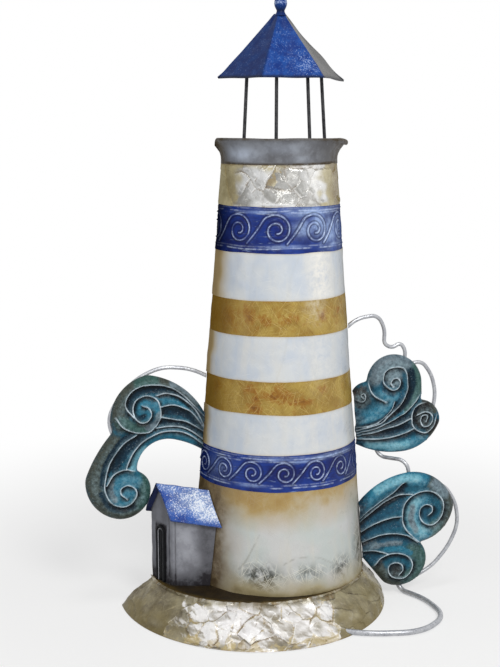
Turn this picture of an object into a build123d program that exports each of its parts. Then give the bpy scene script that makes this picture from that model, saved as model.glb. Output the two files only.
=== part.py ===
from build123d import *
import os
from math import cos, radians, sin, sqrt, tan

os.makedirs("parts", exist_ok=True)

# Half-round metal lighthouse ornament, in millimetres
# The open back lies in the plane y = 0, the front faces -Y and the floor is z = 0
# The tower's axis is the Z axis

# Sheet, rod and fits
tower_sheet = 1.2
wrap_sheet = 1.0
base_sheet = 1.6
deck_sheet = 1.2
collar_sheet = 1.2
roof_sheet = 1.4
hut_sheet = 1.2
wave_sheet = 1.6
spray_rod = 3.0
foot_rod = 4.0
seat_gap = 0.3

# Base: a skirt flared from the deck down to the floor, both half ellipses
floor_centre_x = -20.0
floor_half_width = 101.0
floor_depth = 109.5
deck_centre_x = -16.0
deck_half_width = 82.5
deck_depth = 75.5
deck_height = 21.0
rail_height = 8.0
rail_thickness = 2.0

# Tower: a tapered half shell, wrapped in nine bands from the deck upwards
tower_foot_radius = 66.5
tower_head_radius = 43.0
bottom_wrap_height = 76.5
lower_scroll_height = 26.5
lower_white_height = 29.0
lower_gold_height = 24.0
middle_white_height = 32.0
upper_gold_height = 25.5
upper_white_height = 33.5
upper_scroll_height = 32.5
top_wrap_height = 29.5
scroll_relief = 0.5
scroll_line = 1.1
border_inset = 3.2
border_line = 1.2
scroll_eye = 2.6
scroll_lean = 45.0
lower_scroll_count = 7
lower_scroll_spacing = 23.0
lower_scroll_turn = -10.0
upper_scroll_count = 4
upper_scroll_spacing = 36.0
upper_scroll_turn = 1.5

# Rods across the open back of the tower
brace_inset = 3.0
brace_heights = {"lower": 60.0, "middle": 190.0, "upper": 310.0}

# Lantern: flared collar, floor, four posts, three-sided roof and ball
collar_height = 17.5
collar_straight = 5.0
collar_flare = 4.8
collar_lip_width = 2.0
collar_lip_height = 3.4
gallery_sheet = 1.2
post_rod = 2.5
post_foot_circle = 34.6
post_head_circle = 31.0
post_spacing = 44.0
post_turn = 4.0
eave_above_gallery = 59.5
roof_radius = 45.6
roof_height = 45.6
cap_radius = 4.4
cap_back = 2.7
cap_depth = 3.0
finial_ball = 9.2
finial_neck = 4.4
finial_height = 12.0

# Hut beside the tower: plan corners are measured out from the tower's foot
hut_near_out = 19.9
hut_near_front = 24.5
hut_far_out = 31.0
hut_far_front = 0.8
hut_wall_length = 36.0
hut_turn = -14.0
hut_fall = 8.0
hut_corner_radius = 3.0
ridge_out = 27.2
ridge_front = 12.0
ridge_height = 74.5
front_slope_run = 13.4
front_slope_drop = 22.3
back_slope_run = 11.0
back_slope_drop = 24.5
gable_overhang = 2.6
door_width = 11.5
door_height = 43.4
door_frame = 2.0
door_along = 14.0
door_panel_sheet = 0.6
door_frame_sheet = 1.4

# Waves: embossed plates beside the tower, each placed by its root on the tower's flank
left_wave_height = 132.0
left_wave_front = 5.6
upper_wave_height = 125.0
upper_wave_front = 14.0
lower_wave_height = 55.0
lower_wave_front = 30.0
ridge_line = 1.6
ridge_relief = 1.4
eye_radius = 3.0
eye_relief = 2.4
eye_taper = 30.0
root_depth = 12.0

# Foot rod: it leaves the base through a notch, at an angle round the skirt
foot_exit = 60.0
foot_heading = -29.0
foot_inside = 18.0
foot_straight = 12.0
foot_lean = 3.0

# Heights that follow from the sizes above
deck_under = deck_height - deck_sheet
band_heights = {
    "shell_wrap_bottom": bottom_wrap_height,
    "scroll_band_lower": lower_scroll_height,
    "white_wrap_lower": lower_white_height,
    "gold_wrap_lower": lower_gold_height,
    "white_wrap_middle": middle_white_height,
    "gold_wrap_upper": upper_gold_height,
    "white_wrap_upper": upper_white_height,
    "scroll_band_upper": upper_scroll_height,
    "nacre_wrap_top": top_wrap_height,
}
tower_height = sum(band_heights.values())
tower_top = deck_height + tower_height
gallery_top = tower_top + gallery_sheet
roof_eave = tower_top + eave_above_gallery
roof_cap = roof_eave + roof_height
front_sweep = Axis((0, 0, 0), (0, 0, -1))


def tower_radius(z):
    """Outer radius of the wrapped tower at a height."""
    share = (z - deck_height) / tower_height
    return tower_foot_radius + (tower_head_radius - tower_foot_radius) * share


def finish(piece, name):
    """Label a finished piece and write it."""
    piece.label = name
    export_step(piece, f"parts/{name}.step")


def half_ring(low, high, outer_offset, inner_offset):
    """Half cone shell between two heights, its faces offset from the tower's surface."""
    with BuildPart() as ring:
        with BuildSketch(Plane.XZ):
            with BuildLine():
                Polyline(
                    (tower_radius(low) + inner_offset, low),
                    (tower_radius(low) + outer_offset, low),
                    (tower_radius(high) + outer_offset, high),
                    (tower_radius(high) + inner_offset, high),
                    close=True,
                )
            make_face()
        revolve(axis=front_sweep, revolution_arc=180)
    return ring.part


def skirt_block(inset, low, high):
    """Solid half-elliptic block under the skirt's surface, drawn in by an inset."""
    with BuildPart() as block:
        for z in (low, high):
            share = z / deck_under
            centre = floor_centre_x + (deck_centre_x - floor_centre_x) * share
            half_width = floor_half_width + (deck_half_width - floor_half_width) * share
            depth = floor_depth + (deck_depth - floor_depth) * share
            with BuildSketch(Plane.XY.offset(z)):
                with Locations((centre, 0)):
                    Ellipse(half_width - inset, depth - inset)
        loft(ruled=True)
        split(bisect_by=Plane.XZ, keep=Keep.TOP)
    return block.part


def tower_room():
    """Space that the tower and its wraps fill, with a seat gap round it."""
    clear = scroll_relief + seat_gap
    with BuildPart() as room:
        with Locations((0, 0, deck_height)):
            Cone(
                tower_foot_radius + clear,
                tower_head_radius + clear,
                tower_height,
                align=(Align.CENTER, Align.CENTER, Align.MIN),
            )
    return room.part


def arc_chain(points):
    """Arcs through start, middle, end, middle, end and so on."""
    for start, middle, end in zip(points[0::2], points[1::2], points[2::2]):
        ThreePointArc(start, middle, end)


def spiral(centre, outer, inner, half_turns, start, hand):
    """Spiral of half-turn arcs that winds inwards, counterclockwise where hand is 1."""
    step = (outer - inner) / half_turns
    for turn in range(half_turns):
        first_radius = outer - step * turn
        last_radius = first_radius - step
        angle = radians(start + 180 * hand * turn)
        out = Vector(cos(angle), sin(angle))
        side = Vector(-sin(angle), cos(angle)) * hand
        middle = Vector(*centre)
        first = middle + out * first_radius
        last = middle - out * last_radius
        bulge = (first + last) * 0.5 + side * (0.5 * (first_radius + last_radius))
        ThreePointArc(first, bulge, last)


def bend_radii(points):
    """Largest soft bend for each inner point of a rod's route."""
    fill = 0.45
    radii = []
    for before, corner, after in zip(points[:-2], points[1:-1], points[2:]):
        arrive = Vector(*corner) - Vector(*before)
        leave = Vector(*after) - Vector(*corner)
        half_turn = radians(arrive.get_angle(leave)) / 2
        radii.append(fill * min(arrive.length, leave.length) / tan(half_turn))
    return radii


def bent_rod(points, diameter):
    """Round rod along straight runs joined by soft bends."""
    with BuildPart() as rod:
        with BuildLine() as route:
            FilletPolyline(*points, radius=bend_radii(points))
        with BuildSketch(Plane(route.line @ 0, z_dir=route.line % 0)):
            Circle(diameter / 2)
        sweep()
    return rod.part


# Base skirt, notched where the foot rod comes out
foot_radius = foot_rod / 2
exit_turn = radians(foot_exit)
foot_leave = Vector(
    floor_centre_x + floor_half_width * cos(exit_turn), -floor_depth * sin(exit_turn), foot_radius
)
foot_aim = Vector(cos(radians(foot_heading)), sin(radians(foot_heading)), 0)
foot_side = Vector(-foot_aim.Y, foot_aim.X, 0)
with BuildPart() as base_skirt:
    add(skirt_block(0, 0, deck_under))
    add(skirt_block(base_sheet, 0, deck_under), mode=Mode.SUBTRACT)
    with BuildSketch(Plane(foot_leave, x_dir=foot_side, z_dir=foot_aim)):
        Circle(foot_radius + seat_gap)
        with Locations((0, -foot_radius / 2)):
            Rectangle(foot_rod + 2 * seat_gap, foot_rod)
    extrude(amount=root_depth, both=True, mode=Mode.SUBTRACT)
finish(base_skirt.part, "base_skirt")

# Deck that closes the skirt's top
with BuildPart() as base_deck:
    with BuildSketch(Plane.XY.offset(deck_under)):
        with Locations((deck_centre_x, 0)):
            Ellipse(deck_half_width, deck_depth)
    extrude(amount=deck_sheet)
    split(bisect_by=Plane.XZ, keep=Keep.TOP)
finish(base_deck.part, "base_deck")

# Flat bar that ties the skirt's two back ends on the floor
with BuildPart() as base_back_rail:
    with Locations((floor_centre_x, 0, 0)):
        Box(
            2 * floor_half_width,
            rail_thickness,
            rail_height,
            align=(Align.CENTER, Align.MAX, Align.MIN),
        )
    add(skirt_block(base_sheet + seat_gap, 0, deck_under), mode=Mode.INTERSECT)
finish(base_back_rail.part, "base_back_rail")

# Tower shell under the wraps
core_offset = -wrap_sheet - seat_gap
tower_shell = half_ring(deck_height, tower_top, core_offset, core_offset - tower_sheet)
finish(tower_shell, "tower_shell")


def scroll_motif(low, high, spacing):
    """One raised scroll of a running pattern, at the front of a band."""
    middle = (low + high) / 2
    field = (high - low) / 2 - border_inset - border_line
    pitch = tower_radius(middle) * radians(spacing)
    crest = Vector(-cos(radians(scroll_lean)), sin(radians(scroll_lean))) * field
    with BuildPart() as motif:
        with BuildSketch(Plane((0, 0, middle), x_dir=(1, 0, 0), z_dir=(0, -1, 0))):
            with BuildLine():
                spiral((0, 0), field, scroll_eye, 3, 180 - scroll_lean, -1)
            trace(line_width=scroll_line)
            with BuildLine():
                Line(crest, (field / 2 - pitch, -field))
            trace(line_width=scroll_line)
        extrude(amount=tower_foot_radius)
        add(half_ring(low, high, scroll_relief, -wrap_sheet / 2), mode=Mode.INTERSECT)
    return motif.part


def scroll_band(low, high, count, spacing, turn):
    """Metal band with two border lines and a running scroll between them."""
    motif = scroll_motif(low, high, spacing)
    turns = [turn + (order - (count - 1) / 2) * spacing for order in range(count)]
    with BuildPart() as band:
        add(half_ring(low, high, 0, -wrap_sheet))
        for border in (low + border_inset, high - border_inset - border_line):
            add(half_ring(border, border + border_line, scroll_relief, -wrap_sheet / 2))
        with Locations(*[Location((0, 0, 0), (0, 0, angle)) for angle in turns]):
            add(motif)
        split(bisect_by=Plane.XZ, keep=Keep.TOP)
    return band.part


# Wraps round the tower, each standing on the one below
scroll_patterns = {
    "scroll_band_lower": (lower_scroll_count, lower_scroll_spacing, lower_scroll_turn),
    "scroll_band_upper": (upper_scroll_count, upper_scroll_spacing, upper_scroll_turn),
}
wrap_foot = deck_height
for wrap_name, wrap_height in band_heights.items():
    wrap_head = wrap_foot + wrap_height
    if wrap_name in scroll_patterns:
        wrap = scroll_band(wrap_foot, wrap_head, *scroll_patterns[wrap_name])
    else:
        wrap = half_ring(wrap_foot, wrap_head, 0, -wrap_sheet)
    finish(wrap, wrap_name)
    wrap_foot = wrap_head

# Straight rods across the open back, inside the shell
for brace_name, brace_height in brace_heights.items():
    reach = tower_radius(brace_height) + core_offset - tower_sheet
    half_length = sqrt(reach**2 - brace_inset**2) - 2 * seat_gap
    with BuildPart() as brace:
        with Locations((0, -brace_inset, brace_height)):
            Cylinder(spray_rod / 2, 2 * half_length, rotation=(0, 90, 0))
    finish(brace.part, f"back_brace_{brace_name}")

# Flared gallery collar with a rolled lip
collar_top = tower_top + collar_height
with BuildPart() as gallery_collar:
    with BuildSketch(Plane.XZ):
        with BuildLine():
            foot_end = (tower_head_radius, tower_top + collar_straight)
            foot = Line((tower_head_radius, tower_top), foot_end)
            widest = (tower_head_radius + collar_flare, collar_top - collar_lip_height)
            flare = TangentArc(foot @ 1, widest, tangent=foot % 1)
            lip_end = (tower_head_radius + collar_flare - collar_lip_width, collar_top)
            TangentArc(flare @ 1, lip_end, tangent=flare % 1)
            offset(amount=collar_sheet, side=Side.LEFT)
        make_face()
    revolve(axis=front_sweep, revolution_arc=180)
finish(gallery_collar.part, "gallery_collar")

# Gallery floor, a lid on the tower shell inside the collar
with BuildPart() as gallery_floor:
    with BuildSketch(Plane.XY.offset(tower_top)):
        Circle(tower_head_radius - collar_sheet - seat_gap)
    extrude(amount=gallery_sheet)
    split(bisect_by=Plane.XZ, keep=Keep.TOP)
finish(gallery_floor.part, "gallery_floor")


def half_hexagon(radius, back):
    """Corners of a hexagon's front half, with a straight back edge."""
    side = radius * sqrt(3) / 2
    return [
        (-radius, -back),
        (-radius / 2, -back - side),
        (radius / 2, -back - side),
        (radius, -back),
    ]


def roof_block(low_radius, high_radius, low, high, high_back):
    """Tapered block with three sloping sides."""
    with BuildPart() as block:
        with BuildSketch(Plane.XY.offset(low)):
            Polygon(*half_hexagon(low_radius, 0), align=None)
        with BuildSketch(Plane.XY.offset(high)):
            Polygon(*half_hexagon(high_radius, high_back), align=None)
        loft(ruled=True)
    return block.part


# Three-sided roof of folded sheet, closed only at its cap
corner_inset = roof_sheet / cos(radians(30))
hollow_share = 1 - cap_depth / roof_height
hollow_eave = roof_radius - corner_inset
hollow_cap = hollow_eave + (cap_radius - roof_radius) * hollow_share
roof_hollow = roof_block(
    hollow_eave, hollow_cap, roof_eave, roof_cap - cap_depth, cap_back * hollow_share
)
with BuildPart() as lantern_roof:
    add(roof_block(roof_radius, cap_radius, roof_eave, roof_cap, cap_back))
    add(roof_hollow, mode=Mode.SUBTRACT)
finish(lantern_roof.part, "lantern_roof")

# Four posts that lean in from the gallery floor up to the roof's underside
with BuildPart() as post_room:
    with BuildSketch(Plane.XY.offset(gallery_top)):
        Polygon(*half_hexagon(hollow_eave, 0), align=None)
    extrude(amount=roof_eave - gallery_top)
    add(roof_hollow)
for post in range(4):
    angle = radians(post_turn + (post - 1.5) * post_spacing)
    outward = Vector(sin(angle), -cos(angle), 0)
    foot_point = outward * post_foot_circle + Vector(0, 0, gallery_top)
    head_point = outward * post_head_circle + Vector(0, 0, roof_eave)
    lean = (head_point - foot_point).normalized()
    with BuildPart() as lantern_post:
        with BuildSketch(Plane(foot_point - lean * post_rod, z_dir=lean)):
            Circle(post_rod / 2)
        extrude(amount=roof_cap - gallery_top)
        add(post_room.part, mode=Mode.INTERSECT)
    finish(lantern_post.part, f"lantern_post_{post + 1}")

# Ball on a short neck, standing on the roof's cap
finial_front = cap_back + cap_radius * sqrt(3) / 4
ball_radius = finial_ball / 2
with BuildPart() as finial:
    with Locations((0, -finial_front, roof_cap)):
        Cylinder(
            finial_neck / 2,
            finial_height - ball_radius,
            align=(Align.CENTER, Align.CENTER, Align.MIN),
        )
    with Locations((0, -finial_front, roof_cap + finial_height - ball_radius)):
        Sphere(ball_radius)
finish(finial.part, "finial")

# Hut walls: one folded sheet, its gable end on the left and its long side to the front
near = Vector(-tower_foot_radius - hut_near_out, -hut_near_front, deck_height)
far = Vector(-tower_foot_radius - hut_far_out, -hut_far_front, deck_height)
ridge_plan = Vector(cos(radians(hut_turn)), sin(radians(hut_turn)), 0)
right = near + ridge_plan * hut_wall_length
ridge_aim = ridge_plan * cos(radians(hut_fall)) - Vector(0, 0, sin(radians(hut_fall)))
ridge_back = Vector(-sin(radians(hut_turn)), cos(radians(hut_turn)), 0)
ridge_start = Vector(-tower_foot_radius - ridge_out, -ridge_front, deck_height + ridge_height)
ridge_plane = Plane(ridge_start, x_dir=ridge_back, z_dir=ridge_aim)
gable_along = (far - near).normalized()
gable_out = Vector(-gable_along.Y, gable_along.X, 0)
front_eave = (-front_slope_run, -front_slope_drop)
back_eave = (back_slope_run, -back_slope_drop)
hut_reach = 2 * hut_wall_length

with BuildPart() as hut_room:
    with BuildSketch(ridge_plane):
        with BuildLine():
            Polyline(
                front_eave,
                (0, 0),
                back_eave,
                (back_slope_run, -2 * ridge_height),
                (-front_slope_run, -2 * ridge_height),
                close=True,
            )
        make_face()
    extrude(amount=hut_reach, both=True)

with BuildPart() as hut_walls:
    with BuildSketch(Plane.XY.offset(deck_height)):
        with BuildLine():
            FilletPolyline(
                (far.X, far.Y), (near.X, near.Y), (right.X, right.Y), radius=[hut_corner_radius]
            )
            offset(amount=hut_sheet, side=Side.LEFT)
        make_face()
    extrude(amount=ridge_height)
    add(hut_room.part, mode=Mode.INTERSECT)
    add(tower_room(), mode=Mode.SUBTRACT)
    split(bisect_by=Plane.XZ, keep=Keep.TOP)
finish(hut_walls.part, "hut_walls")

# Hut roof: one folded sheet along the ridge, cut to the gable and to the tower
with BuildPart() as hut_roof:
    with BuildSketch(ridge_plane):
        with BuildLine():
            Polyline(front_eave, (0, 0), back_eave)
            offset(amount=hut_sheet, side=Side.LEFT)
        make_face()
    extrude(amount=hut_reach, both=True)
    split(bisect_by=Plane(near + gable_out * gable_overhang, z_dir=gable_out), keep=Keep.BOTTOM)
    add(tower_room(), mode=Mode.SUBTRACT)
    split(bisect_by=Plane.XZ, keep=Keep.TOP)
    split(bisect_by=Plane.YZ, keep=Keep.BOTTOM)
finish(hut_roof.part, "hut_roof")


def arch(width, height, mode=Mode.ADD):
    """Door outline with a round head, its foot on the sketch's X axis."""
    radius = width / 2
    with Locations((0, (height - radius) / 2)):
        Rectangle(width, height - radius, mode=mode)
    with Locations((0, height - radius)):
        Circle(radius, mode=mode)


# Arched door in a raised frame on the gable
door_foot = near + gable_along * door_along
door_plane = Plane(door_foot, x_dir=-gable_along, z_dir=gable_out)
with BuildPart() as hut_door:
    with BuildSketch(door_plane):
        arch(door_width, door_height)
    extrude(amount=door_panel_sheet)
    with BuildSketch(door_plane):
        arch(door_width, door_height)
        arch(door_width - 2 * door_frame, door_height - door_frame, Mode.SUBTRACT)
    extrude(amount=door_frame_sheet)
finish(hut_door.part, "hut_door")


def flank_plane(side, height, front):
    """Upright plane that faces forward, with its origin on the tower's flank."""
    return Plane((side * tower_radius(height), -front, height), x_dir=(1, 0, 0), z_dir=(0, -1, 0))


def wave_plate(plane, outline, scrolls, flows, eyes):
    """Embossed plate with scroll ridges, flowing ridges and round eyes, cut to the tower."""
    with BuildPart() as wave:
        with BuildSketch(plane):
            with BuildLine():
                arc_chain(outline["arcs"])
                Polyline(outline["arcs"][-1], *outline["root"], outline["arcs"][0])
            make_face()
        extrude(amount=-wave_sheet)
        with BuildSketch(plane):
            for scroll in scrolls:
                with BuildLine():
                    spiral(*scroll)
                trace(line_width=ridge_line)
            for flow in flows:
                with BuildLine():
                    arc_chain(flow)
                trace(line_width=ridge_line)
        extrude(amount=ridge_relief)
        with BuildSketch(plane):
            with Locations(*eyes):
                Circle(eye_radius)
        extrude(amount=eye_relief, taper=eye_taper)
        add(tower_room(), mode=Mode.SUBTRACT)
        add(skirt_block(-seat_gap, 0, deck_under), mode=Mode.SUBTRACT)
    return wave.part


# Left wave: an arched crest that drops into a lower curl
left_plane = flank_plane(-1, left_wave_height, left_wave_front)
left_outline = {
    "arcs": [
        (3, 9), (-15, 33.5), (-42, 45), (-62, 33), (-69.5, 15), (-69, 9), (-67.5, 4),
        (-80.5, -13.5), (-88.7, -31), (-83.5, -51), (-65, -63), (-46, -56), (-40.5, -42),
        (-42.5, -33.5), (-50.7, -27), (-44, -10.5), (-24, -4.3), (-11, -8.5), (2, -16),
    ],
    "root": [(root_depth, -16), (root_depth, 9)],
}
left_wave = wave_plate(
    left_plane,
    left_outline,
    [((-45, 17), 14, 5, 3, 0, 1), ((-57, -42), 17, 5.5, 3, 180, 1)],
    [
        [(-58.5, 24), (-50, 36.5), (-33, 37.8), (-15, 28.5), (-1, 12)],
        [(-29, 30.5), (-15, 26), (-2, 7)],
        [(-30, 14), (-16, 10), (-2, 1)],
        [(-74, -42), (-66, -12), (-46, 1), (-22, 1.5), (-2, -9)],
    ],
    [(-45, 17), (-57, -42)],
)
finish(left_wave, "wave_left")

# Upper right wave: a tall scroll between two smaller ones
upper_plane = flank_plane(1, upper_wave_height, upper_wave_front)
upper_outline = {
    "arcs": [
        (-5, 28), (-1, 36.5), (8, 39.8), (14, 54), (27, 60), (45.5, 53), (52.2, 35),
        (52.4, 29), (51.6, 23.6), (63.5, 18), (67.8, 6), (57, -9), (36, -16.5),
        (17, -14.7), (-3, -6.5),
    ],
    "root": [(-root_depth, -6.5), (-root_depth, 28)],
}
upper_wave = wave_plate(
    upper_plane,
    upper_outline,
    [((30, 39), 12, 4, 3, 0, 1), ((55, 8), 11, 4, 3, 180, -1)],
    [
        [(42, 39), (36, 22), (20, 9), (8, 4), (-3, 2)],
        [(44, 8), (20, 3.5), (-4, -2)],
    ],
    [(30, 39), (55, 8), (4, 29)],
)
finish(upper_wave, "wave_upper_right")

# Lower right wave: a wide crest over a small curl
lower_plane = flank_plane(1, lower_wave_height, lower_wave_front)
lower_outline = {
    "arcs": [
        (-10, 18), (9, 34.5), (32, 41.3), (57, 33), (69, 13), (62, -4), (42, -14.7),
        (47.5, -28), (41, -42.5), (27, -48.3), (13, -44.5),
    ],
    "root": [(-6, -21), (-1.5 * root_depth, -21), (-1.5 * root_depth, 18)],
}
lower_wave = wave_plate(
    lower_plane,
    lower_outline,
    [((44, 8), 17, 5, 3, 90, -1), ((24, -33), 11, 4, 3, 90, -1)],
    [
        [(44, 25), (20, 22), (-4, 8)],
        [(27, 8), (12, 4), (-5, -3)],
        [(38, -13), (20, -6), (-5, -11)],
    ],
    [(44, 8), (24, -33)],
)
finish(lower_wave, "wave_lower_right")


def flank_rod(plane, points, diameter):
    """Rod bent behind a wave plate, cut off at the tower's flank."""
    behind = -wave_sheet - seat_gap - diameter / 2
    route = [plane.from_local_coords((x, z, behind)) for x, z in points]
    with BuildPart() as rod:
        add(bent_rod([tuple(point) for point in route], diameter))
        add(tower_room(), mode=Mode.SUBTRACT)
    return rod.part


# Spray rods welded behind the waves
spray_routes = {
    "wire_left": (
        left_plane,
        [(10, 38), (-9, 47.9), (-31, 50), (-48.5, 42.8), (-62, 30), (-71.5, 13), (-66, -5)],
    ),
    "wire_right_top": (
        upper_plane,
        [(-16, 75), (0, 88.5), (16.5, 90.5), (22.5, 80), (22, 68), (28.5, 64.5), (35.5, 68.5),
         (39.5, 62), (38.5, 51)],
    ),
    "wire_right_side": (
        upper_plane,
        [(41, 51), (53, 53.5), (61.5, 42), (65, 27), (62, 11)],
    ),
    "wire_right_outer": (
        lower_plane,
        [(47, 33.5), (62, 28.5), (72, 14), (74.5, -4), (67, -21), (54, -36), (38, -44)],
    ),
}
for rod_name, (rod_plane, rod_points) in spray_routes.items():
    finish(flank_rod(rod_plane, rod_points, spray_rod), rod_name)

# Link rod from behind the upper right wave to behind the lower one
rod_behind = -wave_sheet - seat_gap - spray_rod / 2
link_start = upper_plane.from_local_coords((15, -9, rod_behind))
link_turn = upper_plane.from_local_coords((20, -20, rod_behind))
link_end = lower_plane.from_local_coords((34, 34, rod_behind))
link_crest = lower_plane.from_local_coords((31, 50, rod_behind))
link_points = [link_start, link_turn, link_crest, link_end]
finish(bent_rod([tuple(point) for point in link_points], spray_rod), "wire_right_link")

# Foot rod: out through the skirt's notch, round on the floor and up behind the lower wave
foot_behind = -wave_sheet - seat_gap - foot_radius
foot_rise = lower_plane.from_local_coords((24, -38, foot_behind))
foot_corner = Vector(foot_rise.X + foot_lean, foot_rise.Y, foot_radius)
foot_bow = [foot_leave + Vector(x, y, 0) for x, y in ((48, -12), (75, 11), (73, 45))]
foot_points = [
    foot_leave - foot_aim * foot_inside,
    foot_leave + foot_aim * foot_straight,
    *foot_bow,
    foot_corner,
    foot_rise,
]
finish(bent_rod([tuple(point) for point in foot_points], foot_rod), "wire_foot")
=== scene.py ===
import math
from functools import cached_property

import bmesh
import bpy
import numpy as np
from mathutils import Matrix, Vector
from mathutils.geometry import delaunay_2d_cdt


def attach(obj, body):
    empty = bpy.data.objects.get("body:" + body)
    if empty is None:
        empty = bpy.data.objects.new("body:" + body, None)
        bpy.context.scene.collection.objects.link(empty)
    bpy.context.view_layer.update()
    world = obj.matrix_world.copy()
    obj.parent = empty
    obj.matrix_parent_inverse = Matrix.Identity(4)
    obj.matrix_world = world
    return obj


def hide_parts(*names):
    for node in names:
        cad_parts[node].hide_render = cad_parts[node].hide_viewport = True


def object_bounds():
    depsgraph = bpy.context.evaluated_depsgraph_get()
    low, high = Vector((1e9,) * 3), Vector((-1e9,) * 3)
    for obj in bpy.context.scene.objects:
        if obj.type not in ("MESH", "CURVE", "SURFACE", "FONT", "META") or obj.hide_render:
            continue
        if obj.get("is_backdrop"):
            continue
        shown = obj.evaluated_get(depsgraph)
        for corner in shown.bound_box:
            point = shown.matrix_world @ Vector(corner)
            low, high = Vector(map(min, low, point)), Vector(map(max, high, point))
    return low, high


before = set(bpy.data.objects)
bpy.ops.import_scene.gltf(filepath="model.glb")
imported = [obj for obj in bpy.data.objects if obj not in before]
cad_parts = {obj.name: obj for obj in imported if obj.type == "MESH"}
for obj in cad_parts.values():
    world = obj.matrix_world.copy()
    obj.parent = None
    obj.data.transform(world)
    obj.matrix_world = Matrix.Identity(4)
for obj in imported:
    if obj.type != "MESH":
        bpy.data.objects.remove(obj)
cad_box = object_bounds()

# Looks of the half-round lighthouse ornament
# Lengths are written in millimetres and become metres when a mesh is made
METRES = 0.001

# Sizes shared with the solids
deck_height = 21.0
deck_sheet = 1.2
floor_centre_x, floor_half_width, floor_depth = -20.0, 101.0, 109.5
deck_centre_x, deck_half_width, deck_depth = -16.0, 82.5, 75.5
tower_foot_radius, tower_head_radius = 66.5, 43.0
wrap_sheet = 1.0
wrap_clear = 0.8
wave_sheet = 1.6
band_levels = [21.0, 97.5, 124.0, 153.0, 177.0, 209.0, 234.5, 268.0, 300.5, 330.0]
tower_top = band_levels[-1]
half_turn = math.pi / 2


def tower_radius(z):
    """Outer radius of the wrapped tower at a height."""
    share = (z - deck_height) / (tower_top - deck_height)
    return tower_foot_radius + (tower_head_radius - tower_foot_radius) * share


def spun(turn, radius, z):
    """Points round the upright axis; a turn of 0 is the front."""
    return np.stack([radius * np.sin(turn), -radius * np.cos(turn), z + 0 * turn], -1)


def on_tower(turn, z, out):
    """Points on the tower's surface, pushed out along its radius."""
    return spun(turn, tower_radius(z) + out, z)


def band(level):
    """Low, middle and high edge of one wrap's band."""
    low, high = band_levels[level:level + 2]
    return low, (low + high) / 2, high


def circle(angles):
    """Points on a circle with a radius of one."""
    return np.stack([np.cos(angles), np.sin(angles)], -1)


# Shaping helpers
LATTICE = 64


def smooth(value, low, high):
    """Soft step from 0 at low to 1 at high."""
    share = np.clip((value - low) / (high - low), 0, 1)
    return share * share * (3 - 2 * share)


def fade(value, low, high):
    """Soft step from 1 at low to 0 at high."""
    return 1 - smooth(value, low, high)


def bell(distance, width=1.0):
    """Round hump that is 1 at no distance and fades over a width."""
    return np.exp(-((distance / width) ** 2))


def lattice(along, across, seed):
    """Each point's place in its cell, and seeded values from -1 to 1 at the cell's low and high corners."""
    table = np.random.default_rng(seed).uniform(-1, 1, (LATTICE, LATTICE))
    column, row = np.floor(along).astype(int), np.floor(across).astype(int)
    low, high = (
        [table[(column + dx) % LATTICE, (row + dy) % LATTICE] for dx in (0, 1)] for dy in (0, 1)
    )
    return along - column, across - row, low, high


def wobble(x, y, size, seed):
    """Smooth seeded noise between -1 and 1 over a plane."""
    along, across, low, high = lattice(x / size, y / size, seed)
    ease_x, ease_y = smooth(along, 0, 1), smooth(across, 0, 1)
    low, high = (row[0] * (1 - ease_x) + row[1] * ease_x for row in (low, high))
    return low * (1 - ease_y) + high * ease_y


def facets(x, y, size, seed):
    """Crumpled foil: flat triangles between random heights from -1 to 1."""
    bent_x = x / size + 0.5 * wobble(x, y, 1.4 * size, seed + 1)
    bent_y = y / size + 0.5 * wobble(x, y, 1.4 * size, seed + 2)
    along, across, (start, right), (above, end) = lattice(bent_x, bent_y, seed)
    low = start + along * (right - start) + across * (above - start)
    high = end + (1 - along) * (above - end) + (1 - across) * (right - end)
    return np.where(along + across < 1, low, high)


def flakes(x, y, spacing, seed):
    """Foil flakes laid side by side: each point's height, painted sheen that follows its flake's tilt, flake
    middle and gap to the flake's edge.
    """
    rng = np.random.default_rng(seed)
    bend, bend_size = 0.18 * spacing, 0.6 * spacing
    bent_x = x + bend * wobble(x, y, bend_size, seed + 1)
    bent_y = y + bend * wobble(x, y, bend_size, seed + 2)
    columns, rows = (np.arange(v.min() - spacing, v.max() + 2 * spacing, spacing) for v in (x, y))
    sites = np.stack(np.meshgrid(columns, rows), -1).reshape(-1, 2)
    sites = sites + rng.uniform(-0.5, 0.5, sites.shape) * spacing
    tilts = rng.uniform(-1, 1, (len(sites), 3))
    gap_x = bent_x.ravel()[:, None] - sites[:, 0]
    gap_y = bent_y.ravel()[:, None] - sites[:, 1]
    distance = np.sqrt(gap_x**2 + gap_y**2)
    order = np.argpartition(distance, 1, axis=1)[:, :2]
    pair = np.take_along_axis(distance, order, 1)
    first = np.where(pair[:, 0] <= pair[:, 1], order[:, 0], order[:, 1])
    tilt = tilts[first]
    lean = tilt[:, 0] * (x.ravel() - sites[first, 0]) + tilt[:, 1] * (y.ravel() - sites[first, 1])
    height = lean + 0.25 * spacing * tilt[:, 2]
    sheen = 0.5 + 0.32 * tilt[:, 2] + 0.6 * lean / spacing
    edge = np.abs(pair[:, 1] - pair[:, 0])
    return [values.reshape(x.shape) for values in (height, sheen, sites[first, 0], edge)]


def folds(height, along, up):
    """How each bit of a crumpled sheet leans towards the front, and where it folds into valleys and over
    crests; these drive painted shade and painted highlights.
    """
    lean_along = np.gradient(height, along, axis=1)
    lean_up = np.gradient(height, up, axis=0)
    bend = np.gradient(lean_along, along, axis=1) + np.gradient(lean_up, up, axis=0)
    return lean_up + 0.5 * lean_along, smooth(bend, 0.1, 0.5), smooth(-bend, 0.1, 0.5)


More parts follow.
